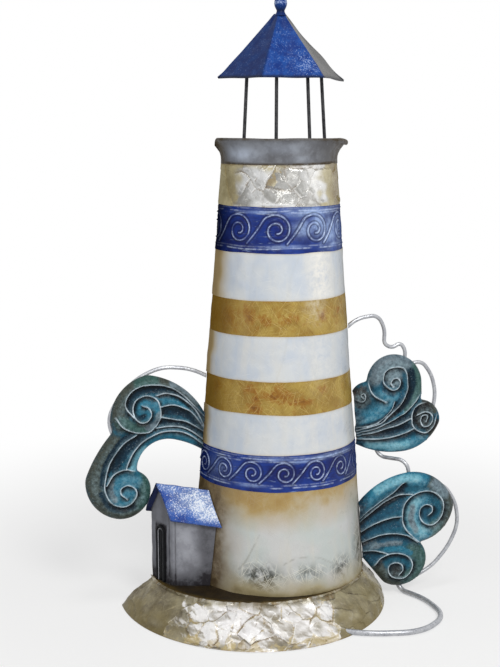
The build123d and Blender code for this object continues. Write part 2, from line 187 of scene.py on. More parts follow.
def spline(points, step=0.8):
    """Even points along a smooth curve through a few given points."""
    knots = np.array(points, float)
    if len(knots) == 1:
        return knots
    padded = np.vstack([2 * knots[0] - knots[1], knots, 2 * knots[-1] - knots[-2]])
    share = np.linspace(0, 1, 24, endpoint=False)[:, None]
    runs = []
    for before, start, end, after in zip(padded, padded[1:], padded[2:], padded[3:]):
        bend = -before + 3 * start - 3 * end + after
        lean = 2 * before - 5 * start + 4 * end - after
        runs.append(start + 0.5 * share * (end - before + share * (lean + share * bend)))
    dense = np.vstack([*runs, knots[-1:]])
    travelled = np.r_[0, np.cumsum(np.linalg.norm(np.diff(dense, axis=0), axis=1))]
    even = np.linspace(0, travelled[-1], max(2, int(travelled[-1] / step)))
    return np.stack([np.interp(even, travelled, dense[:, axis]) for axis in (0, 1)], -1)


def side_ways(path):
    """Unit steps to the left of each point of a path."""
    run = np.gradient(path, axis=0)
    return np.stack([-run[:, 1], run[:, 0]], -1) / np.linalg.norm(run, axis=1)[:, None]


def offset_to(points, curve):
    """Way from the nearest sample of a curve to each point."""
    best = np.full(len(points), np.inf)
    offset = np.zeros((len(points), 2))
    every = np.arange(len(points))
    for block in np.array_split(curve, max(1, len(curve) // 200)):
        gap = points[:, None, :] - block[None, :, :]
        distance = (gap**2).sum(-1)
        nearest = distance.argmin(1)
        closer = distance[every, nearest] < best
        best[closer] = distance[every, nearest][closer]
        offset[closer] = gap[every, nearest][closer]
    return offset


def near_curve(points, curve):
    """Distance of each point to the nearest sample of a curve."""
    return np.linalg.norm(offset_to(points, curve), axis=1)


def marks(arc, up, places):
    """Soft round marks, each given by its arc, height, half width, half height and strength."""
    total = 0 * arc
    for x, height, wide, tall, strength in places:
        total = np.maximum(total, strength * bell(np.hypot((arc - x) / wide, (up - height) / tall)))
    return total


# Mesh helpers
def raised(flat, z):
    """Points of a plan lifted to their heights."""
    return np.concatenate([flat, (z + 0 * flat[..., 0])[..., None]], -1)


def add_piece(name, points, faces, paint, slot, nodes, layers, crease):
    """Make one piece from points in millimetres and seat it in the frame."""
    mesh = bpy.data.meshes.new(name)
    mesh.from_pydata((np.asarray(points) * METRES).tolist(), [], faces)
    for layer_name, values in layers.items():
        kind, field = ("FLOAT_VECTOR", "vector") if np.ndim(values) == 2 else ("FLOAT", "value")
        layer = mesh.attributes.new(layer_name, kind, "POINT")
        layer.data.foreach_set(field, np.asarray(values, np.float32).ravel())
    shape = bmesh.new()
    shape.from_mesh(mesh)
    bmesh.ops.recalc_face_normals(shape, faces=shape.faces)
    shape.to_mesh(mesh)
    shape.free()
    mesh.shade_smooth()
    mesh.set_sharp_from_angle(angle=math.radians(crease))
    mesh.materials.append(paint)
    piece = bpy.data.objects.new(name, mesh)
    bpy.context.scene.collection.objects.link(piece)
    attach(piece, "root")
    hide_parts(*nodes)


def quads(grid):
    """Faces between neighbours in a grid of point numbers."""
    corners = [grid[:-1, :-1], grid[:-1, 1:], grid[1:, 1:], grid[1:, :-1]]
    return np.stack(corners, -1).reshape(-1, 4).tolist()


def add_sheet(name, front, back_low, back_high, paint, slot, nodes, layers, crease=50):
    """Closed sheet piece: a fine front grid, then a plain back of a low and a high row."""
    rows, columns = front.shape[:2]
    index = np.arange(rows * columns).reshape(rows, columns)
    low = rows * columns + np.arange(columns)
    high = low + columns
    faces = []
    for grid in (index, [high, low], [low, index[0]], [index[-1], high]):
        faces += quads(np.array(grid))
    faces.append([low[0], *index[:, 0].tolist(), high[0]])
    faces.append([high[-1], *index[::-1, -1].tolist(), low[-1]])
    points = np.vstack([front.reshape(-1, 3), back_low, back_high])
    full = {}
    for layer_name, values in layers.items():
        body = values.reshape(rows * columns, *values.shape[2:])
        full[layer_name] = np.concatenate([body, values[0], values[-1]])
    add_piece(name, points, faces, paint, slot, nodes, full, crease)


def add_slab(name, front, back, paint, slot, nodes, layers, crease=45):
    """Closed sheet piece from a front grid and a matching back grid."""
    rows, columns = front.shape[:2]
    count = rows * columns
    index = np.arange(count).reshape(rows, columns)
    edge = np.r_[index[0, :-1], index[:-1, -1], index[-1, :0:-1], index[:0:-1, 0]]
    following = np.roll(edge, -1)
    faces = quads(index) + quads(index[:, ::-1] + count)
    faces += np.stack([following, edge, edge + count, following + count], -1).tolist()
    points = np.vstack([front.reshape(-1, 3), back.reshape(-1, 3)])
    full = {}
    for layer_name, values in layers.items():
        full[layer_name] = np.tile(np.broadcast_to(values, (rows, columns)).ravel(), 2)
    add_piece(name, points, faces, paint, slot, nodes, full, crease)


# Paint helpers
def tint(colour):
    """Linear colour of a screen colour written as six hex digits; other colours stay."""
    if not isinstance(colour, str):
        return colour
    parts = [int(colour[place:place + 2], 16) / 255 for place in (0, 2, 4)]
    linear = [part / 12.92 if part <= 0.04045 else ((part + 0.055) / 1.055) ** 2.4 for part in parts]
    return (*linear, 1.0)


class Paint:
    """One procedural material: a colour built up coat by coat, then finished."""

    def __init__(self, name, library=bpy.data.materials):
        self.owner = library.new(name)
        self.owner.use_nodes = True
        self.tree = self.owner.node_tree
        self.colour = None

    @cached_property
    def place(self):
        """Where a point lies in the frame."""
        return self.new("ShaderNodeTexCoord").outputs["Object"]

    @cached_property
    def sheet(self):
        """Where a point lies on a rolled-out sheet."""
        return self.new("ShaderNodeAttribute", attribute_name="sheet").outputs["Vector"]

    def new(self, kind, **settings):
        node = self.tree.nodes.new(kind)
        for key, value in settings.items():
            setattr(node, key, value)
        return node

    def feed(self, socket, value):
        if isinstance(value, bpy.types.NodeSocket):
            self.tree.links.new(value, socket)
        else:
            socket.default_value = value

    def math(self, operation, first, second):
        node = self.new("ShaderNodeMath", operation=operation)
        self.feed(node.inputs[0], first)
        self.feed(node.inputs[1], second)
        return node.outputs[0]

    def times(self, first, second):
        return self.math("MULTIPLY", first, second)

    def plus(self, first, second):
        return self.math("ADD", first, second)

    def least(self, first, second):
        return self.math("MINIMUM", first, second)

    def most(self, first, second):
        return self.math("MAXIMUM", first, second)

    def step(self, value, low, high, start=0.0, end=1.0):
        node = self.new("ShaderNodeMapRange", interpolation_type="SMOOTHSTEP")
        for socket, number in zip(node.inputs, (value, low, high, start, end)):
            self.feed(socket, number)
        return node.outputs[0]

    def layer(self, name, share=1.0):
        """A mesh layer's value, or a share of it."""
        value = self.new("ShaderNodeAttribute", attribute_name=name).outputs["Fac"]
        return value if share == 1.0 else self.times(value, share)

    def moved(self, where, **settings):
        """A place moved, turned and stretched by a mapping node's own settings."""
        node = self.new("ShaderNodeMapping", vector_type="TEXTURE")
        self.feed(node.inputs["Vector"], where)
        for key, value in settings.items():
            node.inputs[key].default_value = value
        return node.outputs[0]

    def distance(self, where):
        node = self.new("ShaderNodeVectorMath", operation="LENGTH")
        self.feed(node.inputs[0], where)
        return node.outputs["Value"]

    def noise(self, size, detail=3.0, rough=0.55):
        """Noise of a size in millimetres."""
        return self.noise_at(self.place, 1 / (size * METRES), detail, rough)

    def noise_at(self, where, scale, detail, rough):
        node = self.new("ShaderNodeTexNoise")
        self.feed(node.inputs["Vector"], where)
        for key, value in (("Scale", scale), ("Detail", detail), ("Roughness", rough)):
            node.inputs[key].default_value = value
        return node.outputs["Fac"]

    def cells(self, size):
        """Random colours of small cells."""
        node = self.new("ShaderNodeTexVoronoi")
        self.feed(node.inputs["Vector"], self.place)
        node.inputs["Scale"].default_value = 1 / (size * METRES)
        return node.outputs["Color"]

    def patches(self, noise, low, high, start=0.0, end=1.0):
        """Noise given by its size, detail and roughness, turned into soft patches."""
        return self.step(self.noise(*noise), low, high, start, end)

    def broken(self, name, noise, low, high, start=0.0, end=1.0):
        """A mesh layer broken up by patches of noise."""
        return self.times(self.layer(name), self.patches(noise, low, high, start, end))

    def sheet_noise(self, angle, sizes, detail, rough):
        """Noise stretched over a rolled-out sheet, turned by an angle."""
        scale = [size * METRES for size in sizes]
        where = self.moved(self.sheet, Rotation=(0, 0, math.radians(angle)), Scale=scale)
        return self.noise_at(where, 1.0, detail, rough)

    def streaks(self, angles, length, width, low, high):
        """Thin straight fibres that cross at a few angles."""
        lines = None
        for angle in angles:
            line = self.step(self.sheet_noise(angle, (length, width, width), 1.0, 0.4), low, high)
            lines = line if lines is None else self.most(lines, line)
        return lines

    def part_of(self, colour, index):
        node = self.new("ShaderNodeSeparateColor")
        self.feed(node.inputs[0], colour)
        return node.outputs[index]

    def blend(self, share, first, second):
        node = self.new("ShaderNodeMix", data_type="RGBA")
        for socket, value in ((0, share), (6, tint(first)), (7, tint(second))):
            self.feed(node.inputs[socket], value)
        return node.outputs[2]

    def base(self, share, first, second):
        """Start the colour with a blend of two."""
        self.colour = self.blend(share, first, second)

    def over(self, share, colour):
        """Lay a share of a colour over what is there."""
        self.colour = self.blend(share, self.colour, colour)

    def seen(self):
        """1 where the eye looks, straight or by a reflection, and 0 for light that bounces."""
        rays = self.new("ShaderNodeLightPath")
        shown = self.most(rays.outputs["Is Camera Ray"], rays.outputs["Is Glossy Ray"])
        return self.most(shown, rays.outputs["Is Transmission Ray"])

    def finish(self, rough, grain=None, depth=0.3, strength=1.0, shine=None, **fixed):
        """Feed the shader; shine gives the coat's and the gloss's shares of the shine layer."""
        inputs = self.tree.nodes["Principled BSDF"].inputs
        values = {"Base Color": tint(self.colour), "Roughness": rough, "Coat Roughness": 0.16}
        values.update((key.replace("_", " "), value) for key, value in fixed.items())
        if shine:
            values["Coat Weight"] = self.layer("shine", shine[0])
            values["Specular IOR Level"] = self.layer("shine", shine[1])
        if grain is not None:
            bump = self.new("ShaderNodeBump")
            bump.inputs["Strength"].default_value = strength
            bump.inputs["Distance"].default_value = depth * METRES
            self.feed(bump.inputs["Height"], grain)
            values["Normal"] = values["Coat Normal"] = bump.outputs["Normal"]
        for key, value in values.items():
            self.feed(inputs[key], value)
        return self.owner


def stand(thing, place, turn=(0, 0, 0)):
    """Put a camera, lamp or mesh in the scene."""
    item = bpy.data.objects.new(thing.name, thing)
    bpy.context.scene.collection.objects.link(item)
    item.location = place
    item.rotation_euler = turn
    return item


# Camera at the photograph's place
CAMERA_PLACE = (-0.2458, -0.8949, 0.3684)
CAMERA_HEADING = 14.08
CAMERA_PITCH = -10.13
FOCAL_PIXELS, IMAGE_LONG_SIDE = 1257.71, 667
camera_data = bpy.data.cameras.new("camera")
camera_data.sensor_width = 36.0
camera_data.lens = FOCAL_PIXELS * camera_data.sensor_width / IMAGE_LONG_SIDE
camera_turn = (math.radians(90 + CAMERA_PITCH), 0, math.radians(-CAMERA_HEADING))
bpy.context.scene.camera = stand(camera_data, CAMERA_PLACE, camera_turn)
bpy.context.scene.view_settings.view_transform = "Standard"

# Soft studio light: lamps stand round the tower's middle at a turn from its front and a rise
LAMP_AIM = Vector((0, -0.03, 0.2))


def add_lamp(name, turn, rise, distance, size, power, colour):
    """Soft rectangular lamp aimed at the middle of the tower."""
    turn, rise = math.radians(turn), math.radians(rise)
    flat = math.cos(rise) * distance
    place = LAMP_AIM + Vector((flat * math.sin(turn), -flat * math.cos(turn), distance * math.sin(rise)))
    lamp_data = bpy.data.lights.new(name, "AREA")
    lamp_data.shape = "RECTANGLE"
    lamp_data.size, lamp_data.size_y = size
    lamp_data.energy = power
    lamp_data.color = colour
    stand(lamp_data, place, (LAMP_AIM - place).to_track_quat("-Z", "Y").to_euler())


add_lamp("key_lamp", 8, 36, 1.3, (0.4, 0.5), 9.2, (1.0, 0.99, 0.97))
add_lamp("side_lamp", -72, 16, 1.3, (0.4, 0.8), 1.0, (0.93, 0.96, 1.0))
add_lamp("top_lamp", 0, 74, 1.2, (0.3, 0.3), 2.2, (1.0, 1.0, 1.0))

# White background that lights the object less than it shows
AMBIENT_LEVEL = 0.32
studio = Paint("studio", bpy.data.worlds)
bpy.context.scene.world = studio.owner
sky = studio.tree.nodes["Background"]
sky.inputs["Color"].default_value = (1, 1, 1, 1)
studio.feed(sky.inputs["Strength"], studio.step(studio.seen(), 0.0, 1.0, AMBIENT_LEVEL, 1.0))

# Pale floor that keeps the shadow near the object and fades into the white background
FLOOR_REACH, FLOOR_DROP = 4.0, 0.0004
FADE_START, FADE_END = 0.16, 0.55
FLOOR_GLOW = 0.58
SHADE_START, SHADE_END = 0.85, 0.99
BACK_SHADE = 0.004
floor_mesh = bpy.data.meshes.new("floor")
corners = [(x * FLOOR_REACH, y * FLOOR_REACH, 0) for x, y in ((-1, -1), (1, -1), (1, 1), (-1, 1))]
floor_mesh.from_pydata(corners, [], [(0, 1, 2, 3)])
floor = stand(floor_mesh, (0, 0, -FLOOR_DROP))
floor_paint = Paint("floor_paint")
floor_paint.colour = "f4f4f4"
floor_paint.finish(0.9)
far = floor_paint.step(floor_paint.distance(floor_paint.place), FADE_START, FADE_END, FLOOR_GLOW, 1.0)

# No glow under the base, whose footprint is half an ellipse
footprint = floor_paint.moved(
    floor_paint.place, Location=(floor_centre_x * METRES, 0, 0),
    Scale=(floor_half_width * METRES, floor_depth * METRES, 1),
)
beside = floor_paint.step(floor_paint.distance(footprint), SHADE_START, SHADE_END)
behind = floor_paint.step(floor_paint.part_of(floor_paint.place, 1), -BACK_SHADE, 0.0)
far = floor_paint.times(far, floor_paint.most(beside, behind))
white = floor_paint.new("ShaderNodeEmission")
white.inputs["Color"].default_value = (1, 1, 1, 1)
mixed = floor_paint.new("ShaderNodeMixShader")
floor_nodes = floor_paint.tree.nodes
floor_paint.feed(mixed.inputs["Fac"], floor_paint.times(far, floor_paint.seen()))
floor_paint.feed(mixed.inputs[1], floor_nodes["Principled BSDF"].outputs[0])
floor_paint.feed(mixed.inputs[2], white.outputs[0])
floor_paint.feed(floor_nodes["Material Output"].inputs["Surface"], mixed.outputs[0])
floor_mesh.materials.append(floor_paint.owner)
floor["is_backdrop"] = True


# Materials
def pearl_paint():
    """Pale pearly shell: cool and warm clouds, faint upright streaks, a brown edge, a painted highlight and
    painted shade at the right edge.
    """
    paint = Paint("shell_white_paint")
    paint.base(paint.patches((22, 2.0), 0.38, 0.62), "d3d7da", "c2cbd7")
    upright = paint.sheet_noise(0, (9, 60, 9), 2.0, 0.5)
    paint.over(paint.step(upright, 0.42, 0.72, 0.0, 0.55), "dad8d1")
    paint.over(paint.layer("tone", 0.4), "bcc5cf")
    fibre = paint.streaks((14, -34, 66), 12, 0.9, 0.66, 0.76)
    paint.over(paint.times(fibre, 0.2), "f2f0e8")
    paint.over(paint.layer("seam", 0.14), "a39c80")
    # Painted highlight round one turn of the wrap
    paint.over(paint.broken("painted_highlight", (4.0, 5.0, 0.7), 0.35, 0.65, 0.35, 1.0), "eeece6")
    # Brown staining at the left edge, painted shade at the right edge
    paint.over(paint.least(paint.layer("stain_and_shade", 1.3), 0.9), "b8a272")
    paint.over(paint.step(paint.layer("stain_and_shade"), 0.5, 1.0, 0.0, 0.45), "876a34")
    # Painted shade towards the right edge
    paint.over(paint.layer("edge_shade_and_stain"), "8d8b80")
    rough = paint.patches((6, 4.0), 0.3, 0.7, 0.24, 0.42)
    grain = paint.plus(paint.noise(3.0, 4.0), paint.times(upright, 0.6))
    return paint.finish(rough, grain, 0.25, 0.3, (0.6, 0.3))


def amber_paint():
    """Amber shell with rusty spots, fine crossing fibres, a painted highlight and painted shade at the right
    edge.
    """
    paint = Paint("shell_gold_paint")
    paint.base(paint.patches((13, 3.0), 0.35, 0.65), "967830", "ae9346")
    spot = paint.plus(paint.layer("spot"), paint.patches((5, 5.0, 0.68), 0.3, 0.7, -0.45, 0.35))
    paint.over(paint.step(spot, 0.0, 0.75, 0.0, 0.85), "935f0c")
    paint.over(paint.step(spot, 0.55, 1.2, 0.0, 0.85), "6b3d04")
    fibre = paint.streaks((10, -32, 50, 76, -58), 15, 0.8, 0.62, 0.73)
    paint.over(paint.times(fibre, 0.45), "d3b86e")
    dark_fibre = paint.streaks((28, -48, 66), 12, 0.8, 0.64, 0.74)
    paint.over(paint.times(dark_fibre, 0.4), "76500f")
    # Painted highlight near the middle of the wrap
    paint.over(paint.broken("painted_highlight", (3.5, 5.0, 0.7), 0.36, 0.62, 0.2, 1.0), "d9cfb4")
    # Brown staining at the left edge, painted shade at the right edge
    paint.over(paint.layer("stain_and_shade", 0.8), "8e6c2c")
    paint.over(paint.step(paint.layer("stain_and_shade"), 0.6, 1.0, 0.0, 0.3), "5f4412")
    # Painted shade towards the right edge
    paint.over(paint.layer("edge_shade_and_stain"), "77683c")
    rough = paint.patches((5, 4.0), 0.3, 0.7, 0.26, 0.44)
    grain = paint.plus(paint.noise(2.5, 4.0), paint.times(fibre, 0.6))
    return paint.finish(rough, grain, 0.25, 0.4, (0.4, 0.15))


def cream_paint():
    """Cream shell, stained amber at its edges, with dark clouds under pale fibres and painted shade at the
    right edge.
    """
    paint = Paint("shell_cream_paint")
    paint.base(paint.patches((24, 2.0), 0.38, 0.62), "cbcccb", "c3cac8")
    upright = paint.sheet_noise(0, (9, 70, 9), 2.0, 0.5)
    paint.over(paint.step(upright, 0.48, 0.78, 0.0, 0.5), "d3cfc0")
    drift = paint.step(paint.sheet_noise(0, (22, 22, 22), 4.0, 0.55), 0.3, 0.7, 0.75, 1.25)
    amber = paint.times(paint.layer("amber"), drift)
    paint.over(paint.least(amber, 0.85), "ac8a2e")
    paint.over(paint.step(amber, 0.6, 1.3, 0.0, 0.7), "96712a")
    patchy = paint.patches((6, 5.0, 0.65), 0.3, 0.6)
    cloud = paint.layer("cloud")
    paint.over(paint.least(paint.times(cloud, patchy), 1.0), "3e413b")
    fibre = paint.streaks((24, -36, 58, 83, -66), 24, 0.8, 0.635, 0.7)
    paint.over(paint.times(fibre, paint.step(cloud, 0.03, 0.3, 0.05, 0.7)), "e2e1d6")
    olive = paint.times(paint.layer("olive"), drift)
    paint.over(paint.least(olive, 0.85), "a8986a")
    paint.over(paint.step(olive, 0.7, 1.4, 0.0, 0.85), "6f6134")
    paint.over(paint.broken("hair", (7, 3.0), 0.35, 0.6, 0.0, 0.45), "74725f")
    # Brown staining at the left edge, painted shade at the right edge
    stain_and_shade = paint.times(paint.layer("stain_and_shade"), drift)
    paint.over(paint.least(stain_and_shade, 0.9), "7d6c4e")
    paint.over(paint.times(paint.step(stain_and_shade, 0.5, 1.2, 0.0, 0.9), patchy), "53432f")
    # Painted shade towards the right edge
    paint.over(paint.layer("edge_shade_and_stain"), "7d7762")
    rough = paint.patches((6, 4.0), 0.3, 0.7, 0.26, 0.44)
    grain = paint.plus(paint.noise(3.0, 4.0), paint.times(fibre, 0.4))
    return paint.finish(rough, grain, 0.25, 0.4, (0.6, 0.3))


def nacre_paint(name, pale, dull, warm, deep, wrinkled):
    """Crumpled shell foil: silver flakes between thin creases, turning gold and brown at the ends, with
    painted sheen, painted highlights and painted shade.
    """
    paint = Paint(name)
    cloud = paint.patches((12, 3.0, 0.5), 0.3, 0.7, -0.14, 0.14)
    sheen = paint.plus(paint.layer("sheen"), cloud)
    # Painted sheen picks between the dull and the pale colour
    paint.base(paint.step(sheen, 0.05, 0.95), dull, pale)
    wrinkle = paint.noise(5, 6.0, 0.68)
    paint.over(paint.step(wrinkle, 0.54, 0.7, 0.0, wrinkled), "f8f7f3")
    paint.over(paint.step(wrinkle, 0.3, 0.46, 0.6 * wrinkled, 0.0), dull)
    soft = paint.patches((17, 4.0, 0.6), 0.3, 0.7, -0.15, 0.6)
    gold = paint.blend(paint.plus(soft, paint.times(sheen, 0.7)), deep, warm)
    gold = paint.blend(paint.patches((3, 5.0, 0.7), 0.5, 0.7, 0.0, 0.25), gold, "c2b58c")
    paint.over(paint.step(paint.plus(paint.layer("gold"), cloud), 0.1, 0.9), gold)
    leaf = paint.plus(paint.layer("leaf"), paint.patches((6, 4.0, 0.6), 0.3, 0.7, -0.9, 0.0))
    paint.over(paint.step(leaf, 0.0, 0.5, 0.0, 0.65), "c2ac6c")
    # Crease lines at flake edges, with painted shade in valleys, and on the top wrap under the collar and at
    # its right end
    paint.over(paint.broken("creases_and_shade", (6, 4.0, 0.6), 0.36, 0.6, 0.1, 0.9), "6f5526")
    # Painted highlights: bright flakes, glints and lit fold ridges
    paint.over(paint.broken("painted_highlight", (3.5, 5.0, 0.7), 0.36, 0.62, 0.25, 1.0), "fbfaf7")
    # Painted shade towards the right edge of the top wrap, olive staining on the skirt's ends
    paint.over(paint.layer("edge_shade_and_stain"), "7d7048")
    rough = paint.patches((4, 3.0), 0.3, 0.7, 0.16, 0.32)
    return paint.finish(rough, wrinkle, 0.7, 0.5, (1.0, 0.4), Metallic=0.1)


def enamel_paint():
    """Blue enamel with pale worn lines, fine level scratches, painted highlights and painted shade."""
    paint = Paint("scroll_blue_paint")
    paint.base(paint.patches((15, 3.0), 0.35, 0.65), "0e1f64", "1a3a8e")
    paint.over(paint.layer("curl", 0.4), "0d166a")
    rub = paint.sheet_noise(0, (13, 1.3, 4), 4.0, 0.65)
    paint.over(paint.step(rub, 0.5, 0.64, 0.0, 0.55), "0d1448")
    scratch = paint.step(rub, 0.58, 0.7, 0.0, 0.65)
    paint.over(paint.times(scratch, paint.patches((12, 3.0), 0.4, 0.58)), "8fa9e0")
    # Worn lines along the borders, and painted highlights in the wide patches
    paint.over(paint.broken("worn", (5, 5.0, 0.7), 0.35, 0.65, 0.45, 1.0), "a3bbe8")
    # Painted shade in the grooves beside the raised lines
    paint.over(paint.layer("groove_shade", 0.7), "080c34")
    paint.over(paint.broken("line", (3.2, 4.0, 0.65), 0.36, 0.6, 0.2, 1.0), "d3e3ff")
    # Painted shade at the ends of the band
    paint.over(paint.layer("stain_and_shade"), "121428")
    # Painted shade towards the right edge, made stronger
    paint.over(paint.layer("edge_shade_and_stain", 1.7), "1f3166")
    rough = paint.step(rub, 0.3, 0.7, 0.3, 0.5)
    grain = paint.plus(rub, paint.noise(1.5, 3.0))
    return paint.finish(rough, grain, 0.2, 0.5, (0.2, 0.12))


def glitter_paint():
    """Blue sheet under fine sparkling flecks, thickest and palest where the layer puts a painted highlight.
    """
    paint = Paint("roof_blue_paint")
    cloud = paint.noise(7, 5.0, 0.65)
    paint.base(paint.step(cloud, 0.35, 0.65), "143279", "1f4c98")
    paint.over(paint.layer("shade"), "0a1a40")
    chance = paint.part_of(paint.cells(0.55), 0)
    wanted = paint.times(paint.layer("glitter_and_highlight"), paint.step(cloud, 0.3, 0.7, 0.5, 1.5))
    paint.over(paint.step(paint.plus(chance, wanted), 0.95, 1.25, 0.0, 0.5), "b3c8f0")
    # Painted highlight where the layer is strong
    paint.over(paint.step(wanted, 0.35, 1.2, 0.0, 0.75), "c3d0ee")
    paint.over(paint.layer("grey"), "646464")
    paint.over(paint.layer("edge"), "10131c")
    return paint.finish(0.4, paint.noise(1.4, 4.0, 0.7), 0.2, 0.4, Specular_IOR_Level=0.1)


def frost_paint():
    """Blue sheet under fine shimmering pale flecks, frosted where the layer says, with a painted highlight.
    """
    paint = Paint("hut_roof_paint")
    cloud = paint.noise(9, 4.0, 0.6)
    paint.base(paint.step(cloud, 0.35, 0.65), "1a3f94", "2a5cb4")
    paint.over(paint.patches((1.7, 4.0, 0.7), 0.5, 0.64, 0.0, 0.6), "16307c")
    # Pale frosting with a painted highlight, as the layer gives
    frost_and_highlight = paint.times(paint.layer("glitter_and_highlight"), paint.step(cloud, 0.3, 0.7, 0.7, 1.3))
    paint.over(paint.least(paint.times(frost_and_highlight, 0.68), 0.8), "aecbf2")
    grain = paint.noise(1.1, 5.0, 0.75)
    bright = paint.plus(grain, paint.times(frost_and_highlight, 0.18))
    paint.over(paint.step(bright, 0.58, 0.68, 0.0, 0.8), "f7fafe")
    paint.over(paint.layer("shade"), "0c1436")
    paint.over(paint.layer("edge"), "10131c")
    return paint.finish(0.35, grain, 0.3, 0.5, Specular_IOR_Level=0.15)


def lacquer_paint(name, colours, size, metal=0.0, rough_span=(0.34, 0.52), shade=None, painted_highlight=None):
    """Mottled lacquer on sheet metal, paler by a painted highlight layer, and coloured by the layer named in
    shade: painted shade on the hut, stains and painted shade on the collar, rubbed gold on the deck and wear
    on the door.
    """
    paint = Paint(name)
    mottle = paint.patches((size, 4.0, 0.6), 0.32, 0.68)
    paint.base(mottle, colours[0], colours[1])
    paint.over(paint.patches((size * 0.2, 4.0, 0.65), 0.5, 0.75, 0.0, 0.35), colours[2])
    if painted_highlight:
        paint.over(paint.times(paint.layer("painted_highlight"), paint.step(mottle, 0.0, 1.0, 0.6, 1.0)), painted_highlight)
    if shade:
        # Painted shade, stains, rubbed gold and wear, as the named layer gives
        shade_and_marks = paint.broken(shade, (size * 0.5, 5.0, 0.65), 0.25, 0.75, 0.6, 1.4)
        paint.over(paint.step(shade_and_marks, 0.0, 1.05), colours[3])
    rough = paint.patches((size * 0.5, 3.0), 0.3, 0.7, *rough_span)
    grain = paint.noise(size * 0.15, 4.0, 0.6)
    return paint.finish(rough, grain, 0.2, 0.4, Metallic=metal, Specular_IOR_Level=0.08)


# Tones brushed on the waves, laid in this order: the dark and the light side of each. Sky and pale stand
# partly for painted highlights
wave_tones = {
    "olive": ("282f2c", "595e56"),
    "green": ("22413f", "4b7068"),
    "teal": ("0f5872", "4091ae"),
    "sky": ("2f87a2", "9ad2e0"),
    "pale": ("34444f", "8d9fa9"),
    "umber": ("151312", "3e3936"),
    "navy": ("11273a", "306c88"),
    "night": ("09111b", "1c3d51"),
}


def wave_paint():
    """Dark teal patina over pressed sheet, with silver flecks, thin worn ridges, painted shade beside the
    ridges and painted highlights on raised rims.
    """
    paint = Paint("wave_teal_paint")
    patina = paint.patches((3.0, 5.0, 0.65), 0.24, 0.76, 0.25, 0.75)
    ragged = paint.patches((4.0, 6.0, 0.7), 0.25, 0.75, -0.3, 0.3)
    paint.base(patina, "123448", "2c7088")
    for tone, (dark, light) in wave_tones.items():
        layer = paint.layer(tone)
        amount = paint.plus(layer, paint.times(ragged, paint.step(layer, 0.0, 0.5)))
        paint.over(paint.step(amount, 0.1, 1.0), paint.blend(patina, dark, light))
    paint.over(paint.patches((1.6, 6.0, 0.75), 0.48, 0.66, 0.0, 0.4), "0f1d27")
    fleck = paint.patches((1.2, 5.0, 0.75), 0.56, 0.68, 0.0, 0.55)
    paint.over(paint.times(fleck, paint.patches((9, 3.0), 0.38, 0.62)), "a9bfc8")
    # Painted shade on the side of each ridge turned from the light
    paint.over(paint.layer("groove_shade", 0.95), "050a10")
    # Painted highlights on raised rims and on the lit side of each ridge
    paint.over(paint.times(paint.layer("crest"), paint.step(patina, 0.2, 1.0, 0.0, 0.5)), "a6c6d0")
    paint.over(paint.broken("ridge", (5.0, 4.0, 0.65), 0.34, 0.62, 0.55, 1.0), "dcecf6")
    rough = paint.patches((3, 4.0), 0.3, 0.7, 0.24, 0.42)
    grain = paint.noise(1.5, 6.0, 0.75)
    return paint.finish(rough, grain, 0.4, 0.5, Coat_Weight=0.1, Specular_IOR_Level=0.06)


pearl = pearl_paint()
amber = amber_paint()
cream = cream_paint()
nacre_top = nacre_paint("shell_nacre_paint", "e8e9ea", "85847f", "c8be98", "918561", 0.4)
nacre_base = nacre_paint("base_nacre_paint", "f7f5f5", "978d78", "a69d80", "5e5544", 0.25)
enamel = enamel_paint()
roof_glitter = glitter_paint()
hut_frost = frost_paint()
# The collar's painted highlight is pale blue-grey; its shade layer holds stains and painted shade
collar_lacquer = lacquer_paint(
    "collar_grey_paint", ("65666a", "82858b", "8f9299", "453c2e"), 12,
    rough_span=(0.36, 0.54), shade="stain_and_shade", painted_highlight="b9c2d2",
)
# Deck colours darkened to stand partly for the shade under the tower and hut: painted shade
deck_lacquer = lacquer_paint(
    "deck_dark_paint", ("201a13", "30271a", "4a3c1e", "80692f"), 9, rough_span=(0.4, 0.6), shade="gold"
)
# The hut's dark layer is painted shade, and its highlight layer painted highlights
hut_lacquer = lacquer_paint(
    "hut_grey_paint", ("74757c", "92949c", "62626a", "312f33"), 10,
    rough_span=(0.4, 0.58), shade="dark", painted_highlight="b9bbc4",
)
door_lacquer = lacquer_paint(
    "hut_door_paint", ("0b0c0e", "151619", "222328", "9a9ba1"), 7, rough_span=(0.36, 0.52), shade="worn"
)
back_lacquer = lacquer_paint("back_steel_paint", ("2e2e30", "3d3d40", "57554f"), 9, 0.4)
core_lacquer = lacquer_paint("core_steel_paint", ("4b4844", "615d56", "7b6f58"), 14, 0.4)
post_lacquer = lacquer_paint("post_steel_paint", ("2c2c2e", "444446", "77777a"), 4, 0.5, (0.3, 0.44))
wire_lacquer = lacquer_paint("wire_silver_paint", ("a8aab0", "c0c2c6", "86888e"), 5, 0.5, (0.26, 0.38))
teal = wave_paint()

# Wraps round the tower
seam_wander, seam_length, seam_seed = 0.4, 22, 40
mean_radius = 60


def seam_line(level, turn):
    """Hand-cut line between two wraps, a little off level."""
    if level in (0, len(band_levels) - 1):
        return 0 * turn
    return seam_wander * wobble(turn * mean_radius, 0 * turn + level * 9.0, seam_length, seam_seed + level)


def wrap_grid(level, step):
    """Turns and heights of a fine grid over one wrap."""
    low, _, high = band(level)
    columns = int(math.pi * tower_radius(low) / step)
    rows = max(4, int((high - low) / step))
    turn = np.linspace(-half_turn, half_turn, columns)
    share = np.linspace(0, 1, rows)[:, None]
    bottom = low + seam_line(level, turn)
    top = high + seam_line(level + 1, turn)
    return np.broadcast_to(turn, (rows, columns)), bottom + (top - bottom) * share


